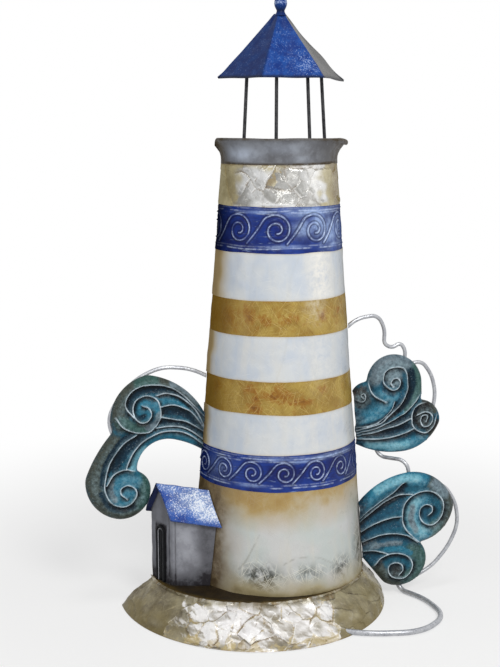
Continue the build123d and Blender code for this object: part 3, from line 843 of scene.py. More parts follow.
def add_wrap(node, level, turn, z, out, paint, slot, layers, crease=60):
    """Close a wrap's grid into a thin sheet on the tower, worn dull towards its two upright edges and painted
    with shade towards its right edge.
    """
    flat = np.stack([turn * tower_radius(band(level)[1]), z, 0 * z], -1)
    layers = {
        **layers,
        "sheet": flat * METRES,
        "shine": fade(-turn, 0.6, 1.3) * fade(turn, 0.5, 1.15),
        # Painted shade, darker towards the right edge
        "edge_shade_and_stain": 0.45 * smooth(turn, 0.7, 1.2),
    }
    low, high = (on_tower(turn[row], z[row], -wrap_sheet) for row in (0, -1))
    add_sheet(node + "_shell", on_tower(turn, z, out), low, high, paint, slot, (node,), layers, crease)


def edge_stain_and_shade(turn, z, reach, seed, steep=1.6):
    """Staining that creeps in from the left edge, with painted shade at the narrower right edge."""
    creep = 0.04 * wobble(z, turn * 40, 9, seed)
    left = np.clip(steep * (1 - (turn + half_turn + creep) / reach), 0, 1)
    right = np.clip(1 - (half_turn - turn + creep) / 0.4, 0, 1)
    return np.clip(left**1.4 + 0.5 * right, 0, 1)


def shell_seams(turn, z, level, count, seed):
    """Upright laps between shell pieces: step height, tone and seam line."""
    rng = np.random.default_rng(seed)
    laps = np.linspace(-1.35, 1.35, count) + rng.uniform(-0.16, 0.16, count)
    slants = rng.uniform(-0.35, 0.35, count)
    middle = band(level)[1]
    height, tone, line = 0 * z, 0 * z + 0.5, 0 * z
    for order in range(count):
        bend = 1.4 * wobble(z, 0 * z + order * 7, 12, seed + order)
        side = (turn - laps[order]) * tower_radius(middle) + slants[order] * (z - middle) + bend
        passed = smooth(side, -0.4, 0.4)
        height = height + rng.uniform(-0.22, 0.22) * passed
        tone = tone * (1 - passed) + rng.uniform(0, 1) * passed
        line = np.maximum(line, bell(side, 0.7) * rng.uniform(0.2, 1.0))
    return height - height.mean(), tone, line


def add_shell_wrap(node, level, count, paint, slot, seed, reach, extra):
    """Plain shell wrap: gently uneven, lapped at upright seams, stained at its edges, with painted shade at
    its right edge.
    """
    turn, z = wrap_grid(level, 1.1)
    height, tone, line = shell_seams(turn, z, level, count, seed)
    arc = turn * tower_radius(z)
    out = 0.35 * wobble(arc, z, 17, seed + 50) + 0.12 * wobble(arc, z, 5, seed + 51) + height - 0.2
    to_seam = np.minimum(z - z[0], z[-1] - z)
    # Staining at the left edge and at the seams, painted shade at the right edge
    stain_and_shade = np.maximum(edge_stain_and_shade(turn, z, reach, seed + 52), 0.3 * bell(to_seam, 0.9))
    layers = {"tone": tone, "seam": line, "stain_and_shade": stain_and_shade, **extra(turn, z, arc)}
    add_wrap(node, level, turn, z, out, paint, slot, layers)


def highlight_at(turn_degrees, width, strength):
    """Painted highlight round one turn of a wrap."""
    def extra(turn, z, arc):
        return {"painted_highlight": strength * bell(np.degrees(turn) - turn_degrees, width)}
    return extra


def spots_at(level, places, highlight_strength):
    """Rusty spots on a wrap, each given by its turn in degrees, share of the height, half width, half height
    and strength, and a painted highlight near the middle of the wrap.
    """
    low, middle, high = band(level)

    def extra(turn, z, arc):
        radius = tower_radius(middle)
        spots = [
            (math.radians(at) * radius, low + share * (high - low), wide, tall, strength)
            for at, share, wide, tall, strength in places
        ]
        painted_highlight = highlight_strength * bell(np.degrees(turn) - 17, 9) * smooth(z, low, high)
        return {"spot": marks(arc, z, spots), "painted_highlight": painted_highlight}
    return extra


def bottom_stains(turn, z, arc):
    """Amber under the band above, dark clouds low down, an olive foot and a few hairlines."""
    fall = band_levels[1] - z
    rise = z - band_levels[0]
    drip = 2.5 * wobble(arc, 0 * z, 18, 71) + 1.2 * wobble(arc, z, 7, 72)
    strip = np.clip(1 - (fall + drip) / 30, 0, 1) * (0.8 + 0.45 * fade(turn, -0.5, 0.3))
    patch = marks(arc, fall, [(20, 9, 11, 8, 0.75), (-4, 24, 9, 5, 0.25), (62, 12, 9, 12, 0.35)])
    clouds = [(-29, 13, 14, 9, 1.5), (6, 16, 13, 6, 0.8), (36, 15, 10, 8, 1.0), (64, 22, 9, 15, 1.1)]
    hairlines = [
        [(-29.7, 45), (-39, 27), (-46, 18)],
        [(-12, 24), (-4.6, 27.5), (4, 28), (15, 26), (25, 21)],
    ]
    flat = np.stack([arc.ravel(), rise.ravel()], -1)
    hairs = [bell(near_curve(flat, spline(path)), 0.6).reshape(z.shape) for path in hairlines]
    return {
        "amber": np.clip(np.maximum(strip, patch), 0, 1),
        "stain_and_shade": edge_stain_and_shade(turn, z, 0.98, 74, 2.2),
        "cloud": marks(arc, rise, clouds),
        "olive": np.clip(1 - (rise + 3 * wobble(arc, z, 13, 73)) / 15, 0, 1),
        "hair": np.maximum(*hairs),
    }


upper_spots = [
    (-61, 0.5, 10, 9, 1.0), (-39, 0.55, 4.5, 7, 1.0), (-25, 0.45, 6, 4, 0.75), (-6, 0.5, 8, 4, 0.7),
    (25, 0.55, 5, 4.5, 0.85), (43, 0.62, 5, 3, 0.65), (-78, 0.5, 5, 9, 0.6),
]
lower_spots = [
    (-67, 0.72, 5, 4.5, 1.0), (-36, 0.78, 5.5, 4, 0.95), (-31, 0.5, 6, 3.5, 0.75), (-33, 0.16, 6, 4, 0.95),
    (-14, 0.6, 10, 6, 0.9), (-2, 0.4, 8, 3.5, 0.75), (5, 0.36, 6, 3, 1.0), (21, 0.75, 5, 4, 0.55),
]
add_shell_wrap("shell_wrap_bottom", 0, 5, cream, "shell_cream", 110, 0.5, bottom_stains)
add_shell_wrap("white_wrap_lower", 2, 5, pearl, "shell_white", 120, 0.3, highlight_at(10, 40, 0.25))
add_shell_wrap("gold_wrap_lower", 3, 6, amber, "shell_gold", 130, 1.0, spots_at(3, lower_spots, 0.15))
add_shell_wrap("white_wrap_middle", 4, 6, pearl, "shell_white", 140, 0.35, highlight_at(20, 14, 0.45))
add_shell_wrap("gold_wrap_upper", 5, 5, amber, "shell_gold", 150, 1.2, spots_at(5, upper_spots, 0.75))
add_shell_wrap("white_wrap_upper", 6, 5, pearl, "shell_white", 160, 0.55, highlight_at(23, 13, 1.0))


def add_top_wrap(level):
    """Crumpled shell wrap under the collar: silver flakes in front, plain gold at the ends."""
    turn, z = wrap_grid(level, 0.55)
    low, _, high = band(level)
    from_low, from_high = z - low, high - z
    arc = turn * tower_radius(z)
    degrees = np.degrees(turn)
    large, large_sheen, flake_place, flake_edge = flakes(arc, z, 19.0, 214)
    small = flakes(arc, z, 6.5, 230)[0]
    flake_degrees = np.degrees(flake_place / tower_radius(z))
    flake_turn = 0.5 * flake_degrees + 0.5 * degrees + 5 * wobble(arc, z, 5, 215)
    silver = smooth(flake_turn, -60, -48) * fade(flake_turn, 28, 38)
    crumple = 0.1 * np.clip(large, -9, 9) + (0.05 * small + 0.35 * facets(arc, z, 5.0, 211)) * silver
    crumple = crumple * (0.5 + 0.5 * silver) * (smooth(from_low, 0, 2) * smooth(from_high, 0, 1.5))
    lean, valley, crest = folds(crumple, arc.mean(0), z.mean(1))
    gold = 1.0 - silver + 0.25 * fade(from_low, 0, 4) + 0.6 * fade(from_high, 0, 5) * fade(degrees, -2, 6)
    gold = gold + marks(degrees, z, [(-21, 327, 12, 4, 0.5)])
    # Painted highlights on the brightest flakes
    painted_highlight = marks(degrees, z, [(20, 319, 10, 13, 0.9), (-3, 321, 7, 5, 0.6), (13, 305, 12, 4, 0.5)])
    # Painted sheen: both sides darker as the light falls off, one flake lit and one shaded as placed
    side_shade = 0.2 * fade(degrees, -70, -8) + 0.85 * smooth(degrees, 32, 50)
    place_sheen = 0.4 * bell(flake_degrees - 21, 11) - 0.3 * bell(flake_degrees + 3, 6)
    # Crease lines at flake edges, painted shade in valleys and a dark line under the collar
    creases_and_shade = np.maximum(0.7 * bell(flake_edge, 0.4), 0.5 * valley) * (0.4 + 0.6 * silver)
    creases_and_shade = np.maximum(creases_and_shade, 0.8 * fade(from_high, 0, 2.2))
    layers = {
        # Flakes that lean to the front are painted lighter
        "sheen": np.clip(0.2 + 0.5 * large_sheen + place_sheen + 1.2 * lean - side_shade, 0, 1),
        "gold": np.clip(gold, 0, 1),
        "painted_highlight": np.maximum(painted_highlight, 0.6 * crest * silver),
        # Right end darkened: painted shade
        "creases_and_shade": np.maximum(creases_and_shade, 0.75 * smooth(degrees, 36, 50)),
    }
    add_wrap("nacre_wrap_top", level, turn, z, crumple, nacre_top, "shell_nacre", layers, 18)


add_top_wrap(8)


# Running scroll bands
border_field = 4.4


def scroll_curve(pitch, field):
    """One scroll of the running pattern: a rising line that curls over and winds inwards."""
    rise_start = np.array([0.62 * field - pitch, -0.8 * field])
    start_angle, sweep, inner = 140.0, 585.0, 0.2 * field
    share = np.linspace(0, 1, 28)
    angle = np.radians(start_angle - sweep * share)
    radius = field + (inner - field) * share**0.85
    winding = radius[:, None] * circle(angle)
    middle = (rise_start + winding[0]) / 2 + np.array([0.04, -0.02]) * field
    return spline([rise_start, middle, *winding], 0.3)


def add_scroll_band(node, level, count, spacing, first_turn, seed, left_dark, right_dark, wear_and_highlight_places):
    """Embossed band: worn border lines and a running scroll between them."""
    turn, z = wrap_grid(level, 0.32)
    low, middle, high = band(level)
    radius = tower_radius(middle)
    field = (high - low) / 2 - border_field
    pitch = radius * math.radians(spacing)
    arc, up = turn * radius, z - middle
    flat = np.stack([arc, up], -1)
    motif = scroll_curve(pitch, field)
    gap, inside_curl = np.full(z.shape, 9.0), 0 * z
    for order in range(-1, count + 1):
        centre = radius * math.radians(first_turn + (order - (count - 1) / 2) * spacing)
        near = np.abs(arc - centre + pitch / 2) < pitch + field
        gap[near] = np.minimum(gap[near], near_curve(flat[near] - np.array([centre, 0.0]), motif))
        if 0 <= order < count:
            inside_curl = np.maximum(inside_curl, bell(np.hypot(arc - centre, up) / field, 0.8))
    strength = 0.5 + 0.5 * smooth(wobble(arc, z, 5, seed), -0.6, 0.2)
    # Lines painted dimmer towards the right edge: painted shade
    line = bell(gap, 0.36) * strength * (1 - 0.5 * smooth(turn, 0.8, 1.2))
    # Painted shade in the grooves beside the lines, which are also sunk a little
    groove_shade = bell(gap - 1.25, 0.5)
    out = 0.75 * line - 0.18 * groove_shade
    borders = ((low + 3.2, 0.9), (low + 4.9, 0.45), (high - 3.0, 0.9), (high - 4.6, 0.55), (high - 1.2, 0.35))
    for order, (border, relief) in enumerate(borders):
        drift = 0.5 * wobble(arc, 0 * z + order * 5, 19, seed + 3)
        broken = smooth(wobble(arc, 0 * z + order * 11, 8, seed + 4 + order), -0.55, 0.15)
        rail = bell(z - border - drift, 0.42) * broken
        out = out + 0.5 * relief * rail
        line = np.maximum(line, 0.75 * relief * rail)
    out = out + 0.12 * wobble(arc / 6, z, 1.6, seed + 20) + 0.25 * wobble(arc, z, 14, seed + 21)
    layers = {
        "line": np.clip(line, 0, 1),
        "groove_shade": groove_shade,
        # Painted shade at both ends of the band
        "stain_and_shade": left_dark * fade(turn + half_turn, 0.0, 0.8) + right_dark * smooth(turn, 0.4, 0.9),
        "curl": inside_curl,
        "worn": marks(np.degrees(turn), up, wear_and_highlight_places),
    }
    add_wrap(node, level, turn, z, out - 0.1, enamel, "scroll_blue", layers)


# Worn places and painted highlights on the bands: degrees round the tower, height from the band's middle,
# half width, half height, strength
lower_wear_and_highlights = [
    (-12, 10.5, 18, 1.2, 0.6), (28, 10.5, 26, 1.4, 0.8), (2, 8.5, 14, 1.0, 0.7),
    (-62, 0, 12, 9, 0.3), (-35, -9, 10, 1.2, 0.5),
]
upper_wear_and_highlights = [
    (-30, 12.5, 16, 1.2, 0.7), (16, 12.5, 26, 3.4, 1.0), (24, 4, 11, 9, 1.0), (36, -2, 12, 10, 1.0),
    (-8, -11.5, 16, 1.4, 0.6), (42, -11, 10, 1.8, 0.8), (8, 1, 9, 6, 0.85), (55, 0, 14, 12, 0.75),
]
add_scroll_band("scroll_band_lower", 1, 7, 23.0, -10.0, 310, 0.3, 0.4, lower_wear_and_highlights)
add_scroll_band("scroll_band_upper", 7, 4, 36.0, 1.5, 330, 0.95, 0.0, upper_wear_and_highlights)

# Base: a flared skirt of crumpled shell foil, folded over the edge of the dark deck
skirt_top = deck_height - deck_sheet
skirt_columns, skirt_rows = 500, 60
skirt_run, skirt_slope = 95.0, 38.0
skirt_inset = 1.6
lip_out, lip_inset, lip_over = 0.3, 1.6, 0.35


def skirt_point(angle, share, out):
    """Point on the flared skirt: an angle round it and a share of its height."""
    swell = 2.2 * np.sin(np.pi * np.clip(share, 0, 1))
    centre = floor_centre_x + (deck_centre_x - floor_centre_x) * share
    wide = floor_half_width + (deck_half_width - floor_half_width) * share + swell + out
    deep = floor_depth + (deck_depth - floor_depth) * share + swell + out
    z = skirt_top * share + 0.35 * out
    return np.stack([centre - wide * np.cos(angle), -deep * np.sin(angle), z], -1)


def deck_point(angle, wide, deep, z):
    """Point at the deck's level: an angle round it and its two half widths."""
    return np.stack([deck_centre_x - wide * np.cos(angle), -deep * np.sin(angle), z], -1)


# Marks on the skirt: degrees round it, share of its height, half width, half height, strength
skirt_glints = [
    (60, 0.42, 5, 0.18, 1.0), (67, 0.8, 4, 0.16, 0.9), (111, 0.75, 4, 0.2, 0.9), (84, 0.55, 7, 0.2, 0.6),
    (47, 0.7, 4, 0.16, 0.8), (100, 0.4, 4, 0.16, 0.5), (54, 0.2, 4, 0.1, 0.6), (76, 0.3, 5, 0.1, 0.6),
]
skirt_browns = [
    (88, 0.12, 5, 0.14, 1.0), (64, 0.08, 6, 0.1, 0.7), (104, 0.5, 3, 0.3, 0.6), (96, 0.85, 5, 0.1, 0.5),
]
# Painted highlights and painted shade on chosen facets: degrees round it, share of its height, half width,
# half height, strength
skirt_bright = [
    (63, 0.43, 5, 0.2, 0.4), (68, 0.75, 6, 0.25, 0.35), (77, 0.45, 5, 0.2, 0.25), (108, 0.72, 4, 0.2, 0.35),
    (92, 0.88, 5, 0.1, 0.25), (49, 0.77, 4, 0.15, 0.25), (111, 0.58, 5, 0.25, 0.5),
]
skirt_shaded = [(43, 0.55, 5, 0.25, 0.45), (85, 0.62, 4, 0.15, 0.3), (91, 0.4, 5, 0.2, 0.3)]


def add_skirt():
    """Crumpled skirt: silver flakes in front, olive gold at the ends, and a lip folded over the deck."""
    angle = np.broadcast_to(np.linspace(0, np.pi, skirt_columns), (skirt_rows, skirt_columns))
    share = np.broadcast_to(np.linspace(0, 1, skirt_rows)[:, None], angle.shape)
    degrees = np.degrees(angle)
    run, slope = angle * skirt_run, share * skirt_slope
    large, large_sheen, flake_place, flake_edge = flakes(run, slope, 15.0, 412)
    small = flakes(run, slope, 6.0, 430)[0]
    flake_turn = np.degrees(flake_place / skirt_run) + 3 * wobble(run, slope, 6, 415)
    silver = smooth(flake_turn, 36, 46) * fade(flake_turn, 112, 122)
    crumple = 0.12 * np.clip(large, -12, 12) + 0.05 * small
    crumple = crumple + 1.3 * facets(run + 0.3 * slope, 0.8 * slope, 11.0, 411)
    crumple = crumple + 0.9 * facets(run - 0.5 * slope, 0.9 * slope, 7.5, 417)
    crumple = crumple + 0.3 * facets(run, slope, 4.4, 413)
    crumple = crumple * (0.4 + 0.6 * silver) * smooth(share, 0, 0.08)
    lean, valley, crest = folds(crumple, run[0], slope[:, 0])
    front = skirt_point(angle, share, crumple)
    front[0, :, 2] = 0

    near_ends = 0.8 * fade(degrees, 42, 66) + 0.35 * smooth(degrees, 100, 116)
    gold = 0.95 * (1 - silver) + near_ends * fade(lean, -0.05, 0.25)
    gold = np.clip(gold + 0.2 * fade(share, 0, 0.2) + 0.55 * smooth(share, 0.88, 1), 0, 1)
    # Painted glints on facets that lean to the front, painted highlights on lit fold ridges
    glints = marks(degrees, share, skirt_glints) * smooth(lean, -0.15, 0.15)
    shown_crest = crest * smooth(wobble(run, slope, 9, 419), -0.3, 0.3)
    shown_valley = valley * smooth(wobble(run, slope, 8, 418), -0.3, 0.3) * fade(share, 0.8, 0.92)
    # Crease lines at flake edges, painted shade in valleys; a dark line along the foot
    creases_and_shade = np.maximum(0.25 * bell(flake_edge, 0.4), 0.9 * shown_valley) * silver
    # Painted sheen: facets that lean to the front are lighter, chosen facets lit and shaded, the left end
    # darker
    sheen = 0.42 + 0.5 * large_sheen + 1.1 * lean
    sheen = sheen + marks(degrees, share, skirt_bright) - marks(degrees, share, skirt_shaded)
    sheen = sheen - fade(degrees, 20, 50) * (0.4 + 0.5 * fade(share, 0.0, 0.6)) * (1 - silver)
    leaf = 0.6 * fade(share, 0.1, 0.35) + 0.4 * smooth(degrees, 96, 112) + 0.75 * bell(flake_edge, 1.6)
    ragged_share = share + 0.4 * wobble(run, slope, 8, 422)
    layers = {
        # Right end painted lighter
        "sheen": np.clip(sheen + 0.25 * smooth(degrees, 110, 130), 0, 1),
        "gold": np.clip(gold + marks(degrees, share, skirt_browns), 0, 1.3),
        "painted_highlight": np.maximum(glints, 0.85 * shown_crest * silver) * fade(share, 0.86, 0.95),
        "creases_and_shade": np.maximum(creases_and_shade, 0.8 * fade(share, 0.0, 0.04)),
        "leaf": silver * leaf,
        "shine": 0.12 + 0.88 * silver,
        "edge_shade_and_stain": 0.65 * (1 - silver) * fade(ragged_share, 0.05, 0.7),
    }

    ring, along = angle[0], run[0]
    lip_height = skirt_top + (1.6 + 1.2 * wobble(along, 0 * along, 5, 420))
    lip = deck_point(ring, deck_half_width + lip_out, deck_depth + lip_out, lip_height)
    lip_end = deck_height + lip_over + 0 * ring
    lip_in = deck_point(ring, deck_half_width - lip_inset, deck_depth - lip_inset, lip_end)
    lip_mark = wobble(along, 0 * along, 3, 421)
    lip_layers = {
        "gold": 0.7 + 0 * lip_mark,
        # Painted glints along the lip
        "painted_highlight": 0.45 * smooth(lip_mark, 0.1, 0.6) * silver[-1],
        "creases_and_shade": 0.9 * smooth(-lip_mark, -0.3, 0.4),
    }
    for key, value in layers.items():
        lip_row = lip_layers.get(key, value[-1])[None]
        layers[key] = np.concatenate([value, lip_row, lip_row])
    front = np.concatenate([front, lip[None], lip_in[None]])
    inner_low = skirt_point(ring, 0 * ring, -skirt_inset)
    inner_low[:, 2] = 0
    inner_high = skirt_point(ring, 0 * ring + 0.99, -skirt_inset)
    inner_high[:, 2] = skirt_top - 0.05
    add_sheet(
        "base_skirt_shell", front, inner_low, inner_high,
        nacre_base, "base_nacre", ("base_skirt",), layers, 16,
    )


def add_deck():
    """Dark deck inside the skirt's folded lip, rubbed gold at its edge."""
    ring = np.linspace(0, 1, 14)[:, None]
    angle = np.linspace(0, np.pi, 120)[None, :]
    reach, inset = 0.02 + 0.98 * ring, 1.2
    wide, deep = (deck_half_width - inset) * reach, (deck_depth - inset) * reach
    front = deck_point(angle, wide, deep, 0 * (ring + angle))
    front[..., 2] = deck_height + 0.25 * wobble(front[..., 0], front[..., 1], 8, 430)
    low, high = front[0].copy(), front[-1].copy()
    low[:, 2] = high[:, 2] = skirt_top
    gold = np.broadcast_to(0.5 * smooth(ring, 0.9, 1.0), front.shape[:2])
    add_sheet(
        "base_deck_ledge", front, low, high, deck_lacquer, "deck_dark", ("base_deck",), {"gold": gold}
    )


add_skirt()
add_deck()

# Flared collar with a rolled lip
collar_outer = [(43.2, 329.6), (43.1, 332.5), (43.4, 335.5), (44.3, 339.0), (45.8, 342.2), (46.9, 344.3)]
collar_inner = [(44.6, 343.4), (42.9, 339.5), (41.9, 335.0), (41.8, 330.2)]
collar_mean_radius = 45
flare_start, flare_end = 334, 346
lip_centre, lip_radius = np.array([46.3, 345.6]), 1.3
corner_turn, corner_drop = 0.09, 4.0
# Painted highlights on the collar: degrees round it, height, half width, half height, strength
collar_glints = [(-52, 337, 17, 5, 1.0), (-12, 341, 20, 4, 0.45), (6, 334, 14, 2.5, 0.3)]


def add_collar():
    """Wavy collar: flared and beaded at its right end, with a rounded corner at its left."""
    angles = np.radians(np.linspace(-50, 200, 14))
    outer = spline(collar_outer, 1.0)[:-1]
    inner = spline(collar_inner, 2.0)
    lip = circle(angles)
    profile = np.vstack([outer, lip_centre + lip_radius * lip, inner])
    lip_way = np.vstack([0 * outer, lip - [0, 1], 0 * inner])
    turn = np.linspace(-half_turn, half_turn, 260)[None, :]
    around = turn * collar_mean_radius
    level = profile[:, 1:]
    flare = smooth(level, flare_start, flare_end)
    end_flare = flare * smooth(turn, 0.9, half_turn)
    bead = 1.1 * smooth(turn, 0.75, 1.25)
    radius = profile[:, :1] + 0.35 * wobble(around, level, 13, 440)
    radius = radius + 0.5 * flare * wobble(around, 0 * turn, 24, 441)
    radius = radius + 3.0 * end_flare + bead * lip_way[:, :1]
    z = level + 0.6 * flare * wobble(around, 0 * turn + 9, 18, 442)
    z = z + 1.3 * flare - 1.9 * end_flare + bead * lip_way[:, 1:]
    into_corner = np.clip(1 - (half_turn + turn) / corner_turn, 0, 1)
    z = z - corner_drop * flare * (1 - np.sqrt(1 - into_corner**2))
    grid = spun(turn, radius, z)
    index = np.arange(z.size).reshape(z.shape)
    faces = quads(np.vstack([index, index[:1]])) + [index[::-1, 0].tolist(), index[:, -1].tolist()]
    degrees = np.degrees(turn)
    # Brown staining at the ends and rim, painted shade in a dark line along the foot where the collar meets
    # the wrap
    right = 0.65 * smooth(degrees, 8, 58) + 0.35 * smooth(degrees, 58, 76)
    ends = np.maximum(0.95 * fade(degrees, -88, -58), right)
    stain_and_shade = np.clip(ends + 0.9 * fade(z, 330.0, 331.6) + 0.6 * smooth(z, 345, 347.6), 0, 1)
    layers = {"stain_and_shade": stain_and_shade.ravel(), "painted_highlight": marks(degrees + 0 * z, z, collar_glints).ravel()}
    add_piece(
        "gallery_collar_flare", grid.reshape(-1, 3), faces, collar_lacquer, "collar_grey",
        ("gallery_collar",), layers, 60,
    )


add_collar()

# Lantern roof: three folded faces with soft folds, open underneath
roof_eave, roof_cap = 389.5, 435.1
roof_radius, cap_radius, cap_back = 45.6, 4.4, 2.7
hollow_radius, hollow_cap, hollow_back, hollow_top = 43.98, 5.49, 2.52, 432.1
fold_window = 0.035


def hexagon_path(radius, back, place):
    """Point on a hexagon's front half: place runs from 0 to 3 over its three sides, with soft corners."""
    depth = radius * math.sqrt(3) / 2
    corners = ([-radius, -radius / 2, radius / 2, radius], [-back, -back - depth, -back - depth, -back])
    near = np.clip(place[..., None] + np.linspace(-fold_window, fold_window, 9), 0, 3)
    free = np.minimum(place, 3 - place) < fold_window
    sharp = [np.interp(place, range(4), knots) for knots in corners]
    mean = [np.interp(near, range(4), knots).mean(-1) for knots in corners]
    return np.where(free, sharp, mean).T


def add_roof():
    """Roof sheet, a little dented, with blunt tips and the right one bent."""
    place = np.linspace(0, 3, 133)
    climb = np.linspace(0, 1, 40)[:, None]
    eave = hexagon_path(roof_radius, 0.0, place)
    cap = hexagon_path(cap_radius, cap_back, place)
    run = place * roof_radius
    to_right = smooth(place, 2.5, 3.0)
    flat = eave + (cap - eave) * climb[..., None]
    sag = -0.7 * np.abs(np.sin(np.pi * place)) ** 0.7 * np.sin(np.pi * climb)
    sag = sag + 0.45 * wobble(run + 0 * climb, climb * 60, 13, 610)
    dent = 1.3 * to_right * bell(climb - 0.36, 0.13) - 0.8 * to_right * bell(climb - 0.72, 0.16)
    push = (sag + dent) * smooth(climb, 0, 0.08) * fade(climb, 0.9, 1)
    flat = flat * (1 + push[..., None] / np.linalg.norm(flat, axis=-1, keepdims=True))
    bent_tip = 4.6 * to_right
    blunt_tip = 2.2 * (1 - smooth(place, 0, 0.05) - smooth(place, 2.95, 3.0))
    flat[..., 0] += bent_tip * (1 - climb) ** 4
    flat[..., 0] += blunt_tip * (0.55 * smooth(climb, 0, 0.12) - smooth(climb, 0, 0.03) + 0.45)
    droop = 0.2 * wobble(run, 0 * run, 14, 611) - 1.6 * smooth(place, 2.45, 3.0)
    front = raised(flat, roof_eave + (roof_cap - roof_eave) * climb + droop * (1 - climb) ** 3)
    peak = raised(np.array([0, -cap_back - 0.9]) + 0.12 * (cap - cap.mean(0)), roof_cap)
    under_low = raised(hexagon_path(hollow_radius, 0.0, place), roof_eave + droop + 0.15)
    under_low[:, 0] += bent_tip + 0.45 * blunt_tip
    under_high = raised(hexagon_path(hollow_cap, hollow_back, place), hollow_top)
    climb = np.vstack([climb, [[1.0]]])
    on_front = smooth(place, 0.97, 1.03) * fade(place, 1.97, 2.03)
    # Painted highlights near the front face's right corner and its fold
    corner_highlight = bell(place - 1.82, 0.22) * bell(climb - 0.2, 0.16)
    fold_highlight = bell(place - 1.35, 0.3) * bell(climb - 0.6, 0.25)
    right_edge = smooth(place, 2.86, 2.94) * fade(climb, 0.1, 0.18)
    layers = {
        "glitter_and_highlight": 0.06 + on_front * (0.02 + 0.26 * corner_highlight + 0.06 * fold_highlight),
        "grey": smooth(place, 1.99, 2.04) + 0 * climb,
        "shade": 0.62 * fade(place, 0.97, 1.04) + 0.25 * smooth(climb, 0.55, 0.95) * on_front,
        "edge": np.maximum(0.9 * fade(climb, 0.012, 0.06), right_edge),
    }
    add_sheet(
        "lantern_roof_sheet", np.concatenate([front, peak[None]]), under_low, under_high,
        roof_glitter, "roof_blue", ("lantern_roof",), layers, 40,
    )


finial_knots = [
    (4.3, 433.8), (3.5, 435.2), (2.95, 436.5), (2.9, 437.4), (3.5, 438.7), (4.3, 440.5),
    (4.6, 442.5), (4.25, 444.5), (3.2, 445.9), (1.6, 446.8), (0.3, 447.1),
]
finial_y, finial_sides = -4.605, 40
ball_middle, neck_middle = 443.0, 437.2


def add_finial():
    """Ball on a neck: a profile of radii and heights spun round an upright axis."""
    profile = spline(finial_knots, 0.45)
    radius, z = profile[:, :1], profile[:, 1:]
    around = np.linspace(0, 2 * np.pi, finial_sides, endpoint=False)
    grid = spun(around, radius, z) + [0, finial_y, 0]
    index = np.arange(len(profile) * finial_sides).reshape(len(profile), finial_sides)
    faces = quads(np.hstack([index, index[:, :1]])) + [index[0, ::-1].tolist(), index[-1].tolist()]
    layers = {
        # Painted highlight on the ball
        "glitter_and_highlight": 0.03 + 0.55 * bell(z - ball_middle, 1.7),
        "shade": 0.6 - 0.5 * bell(z - ball_middle, 2.5),
        # Painted shade in the neck
        "edge": 0.6 * bell(z - neck_middle, 1.2),
    }
    layers = {key: np.repeat(values, finial_sides) for key, values in layers.items()}
    add_piece("finial_ball", grid.reshape(-1, 3), faces, roof_glitter, "roof_blue", ("finial",), layers, 60)


add_roof()
add_finial()

# Hut: folded walls, a frosted roof with a painted highlight, and an arched door
hut_sheet = 1.2
hut_foot = deck_height + 0.3
hut_corner, hut_bend = 3.0, 2.6
hut_overhang = 2.6
wall_rise = 50.0
hut_near, hut_far = np.array([-86.4, -24.5]), np.array([-97.5, -0.8])
hut_heading = math.radians(-14)
hut_fall = math.radians(8)
wall_along = np.array([math.cos(hut_heading), math.sin(hut_heading)])
wall_front_out = np.array([wall_along[1], -wall_along[0]])
ridge_start = np.array([-93.7, -12.0, 95.5])
ridge_aim = np.array([*(wall_along * math.cos(hut_fall)), -math.sin(hut_fall)])
ridge_back = np.array([-wall_along[1], wall_along[0], 0.0])
ridge_up = np.cross(ridge_aim, ridge_back)
front_eave, back_eave = np.array([-13.4, -22.3]), np.array([11.0, -24.5])
gable_length = np.linalg.norm(hut_far - hut_near)
gable_along = (hut_far - hut_near) / gable_length
gable_out = np.array([-gable_along[1], gable_along[0]])
door_half, door_height, door_along = 5.75, 43.4, 14.0
frame_inset, bead_inset = 1.1, 2.9


def unit(ways):
    """Directions brought to a length of one."""
    return ways / np.linalg.norm(ways, axis=-1, keepdims=True)


def under_slope(plan, eave):
    """Height of a roof slope's underside over points on the plan."""
    normal = np.cross(ridge_aim, eave[0] * ridge_back + eave[1] * ridge_up)
    gap = plan - ridge_start[:2]
    return ridge_start[2] - (gap @ normal[:2]) / normal[2]


def tower_reach(start, aim, z):
    """Distance along a plan direction to the tower's wrapped surface."""
    radius = tower_radius(z) + wrap_clear
    toward = start @ aim
    return -toward - np.sqrt(toward**2 - start @ start + radius**2)


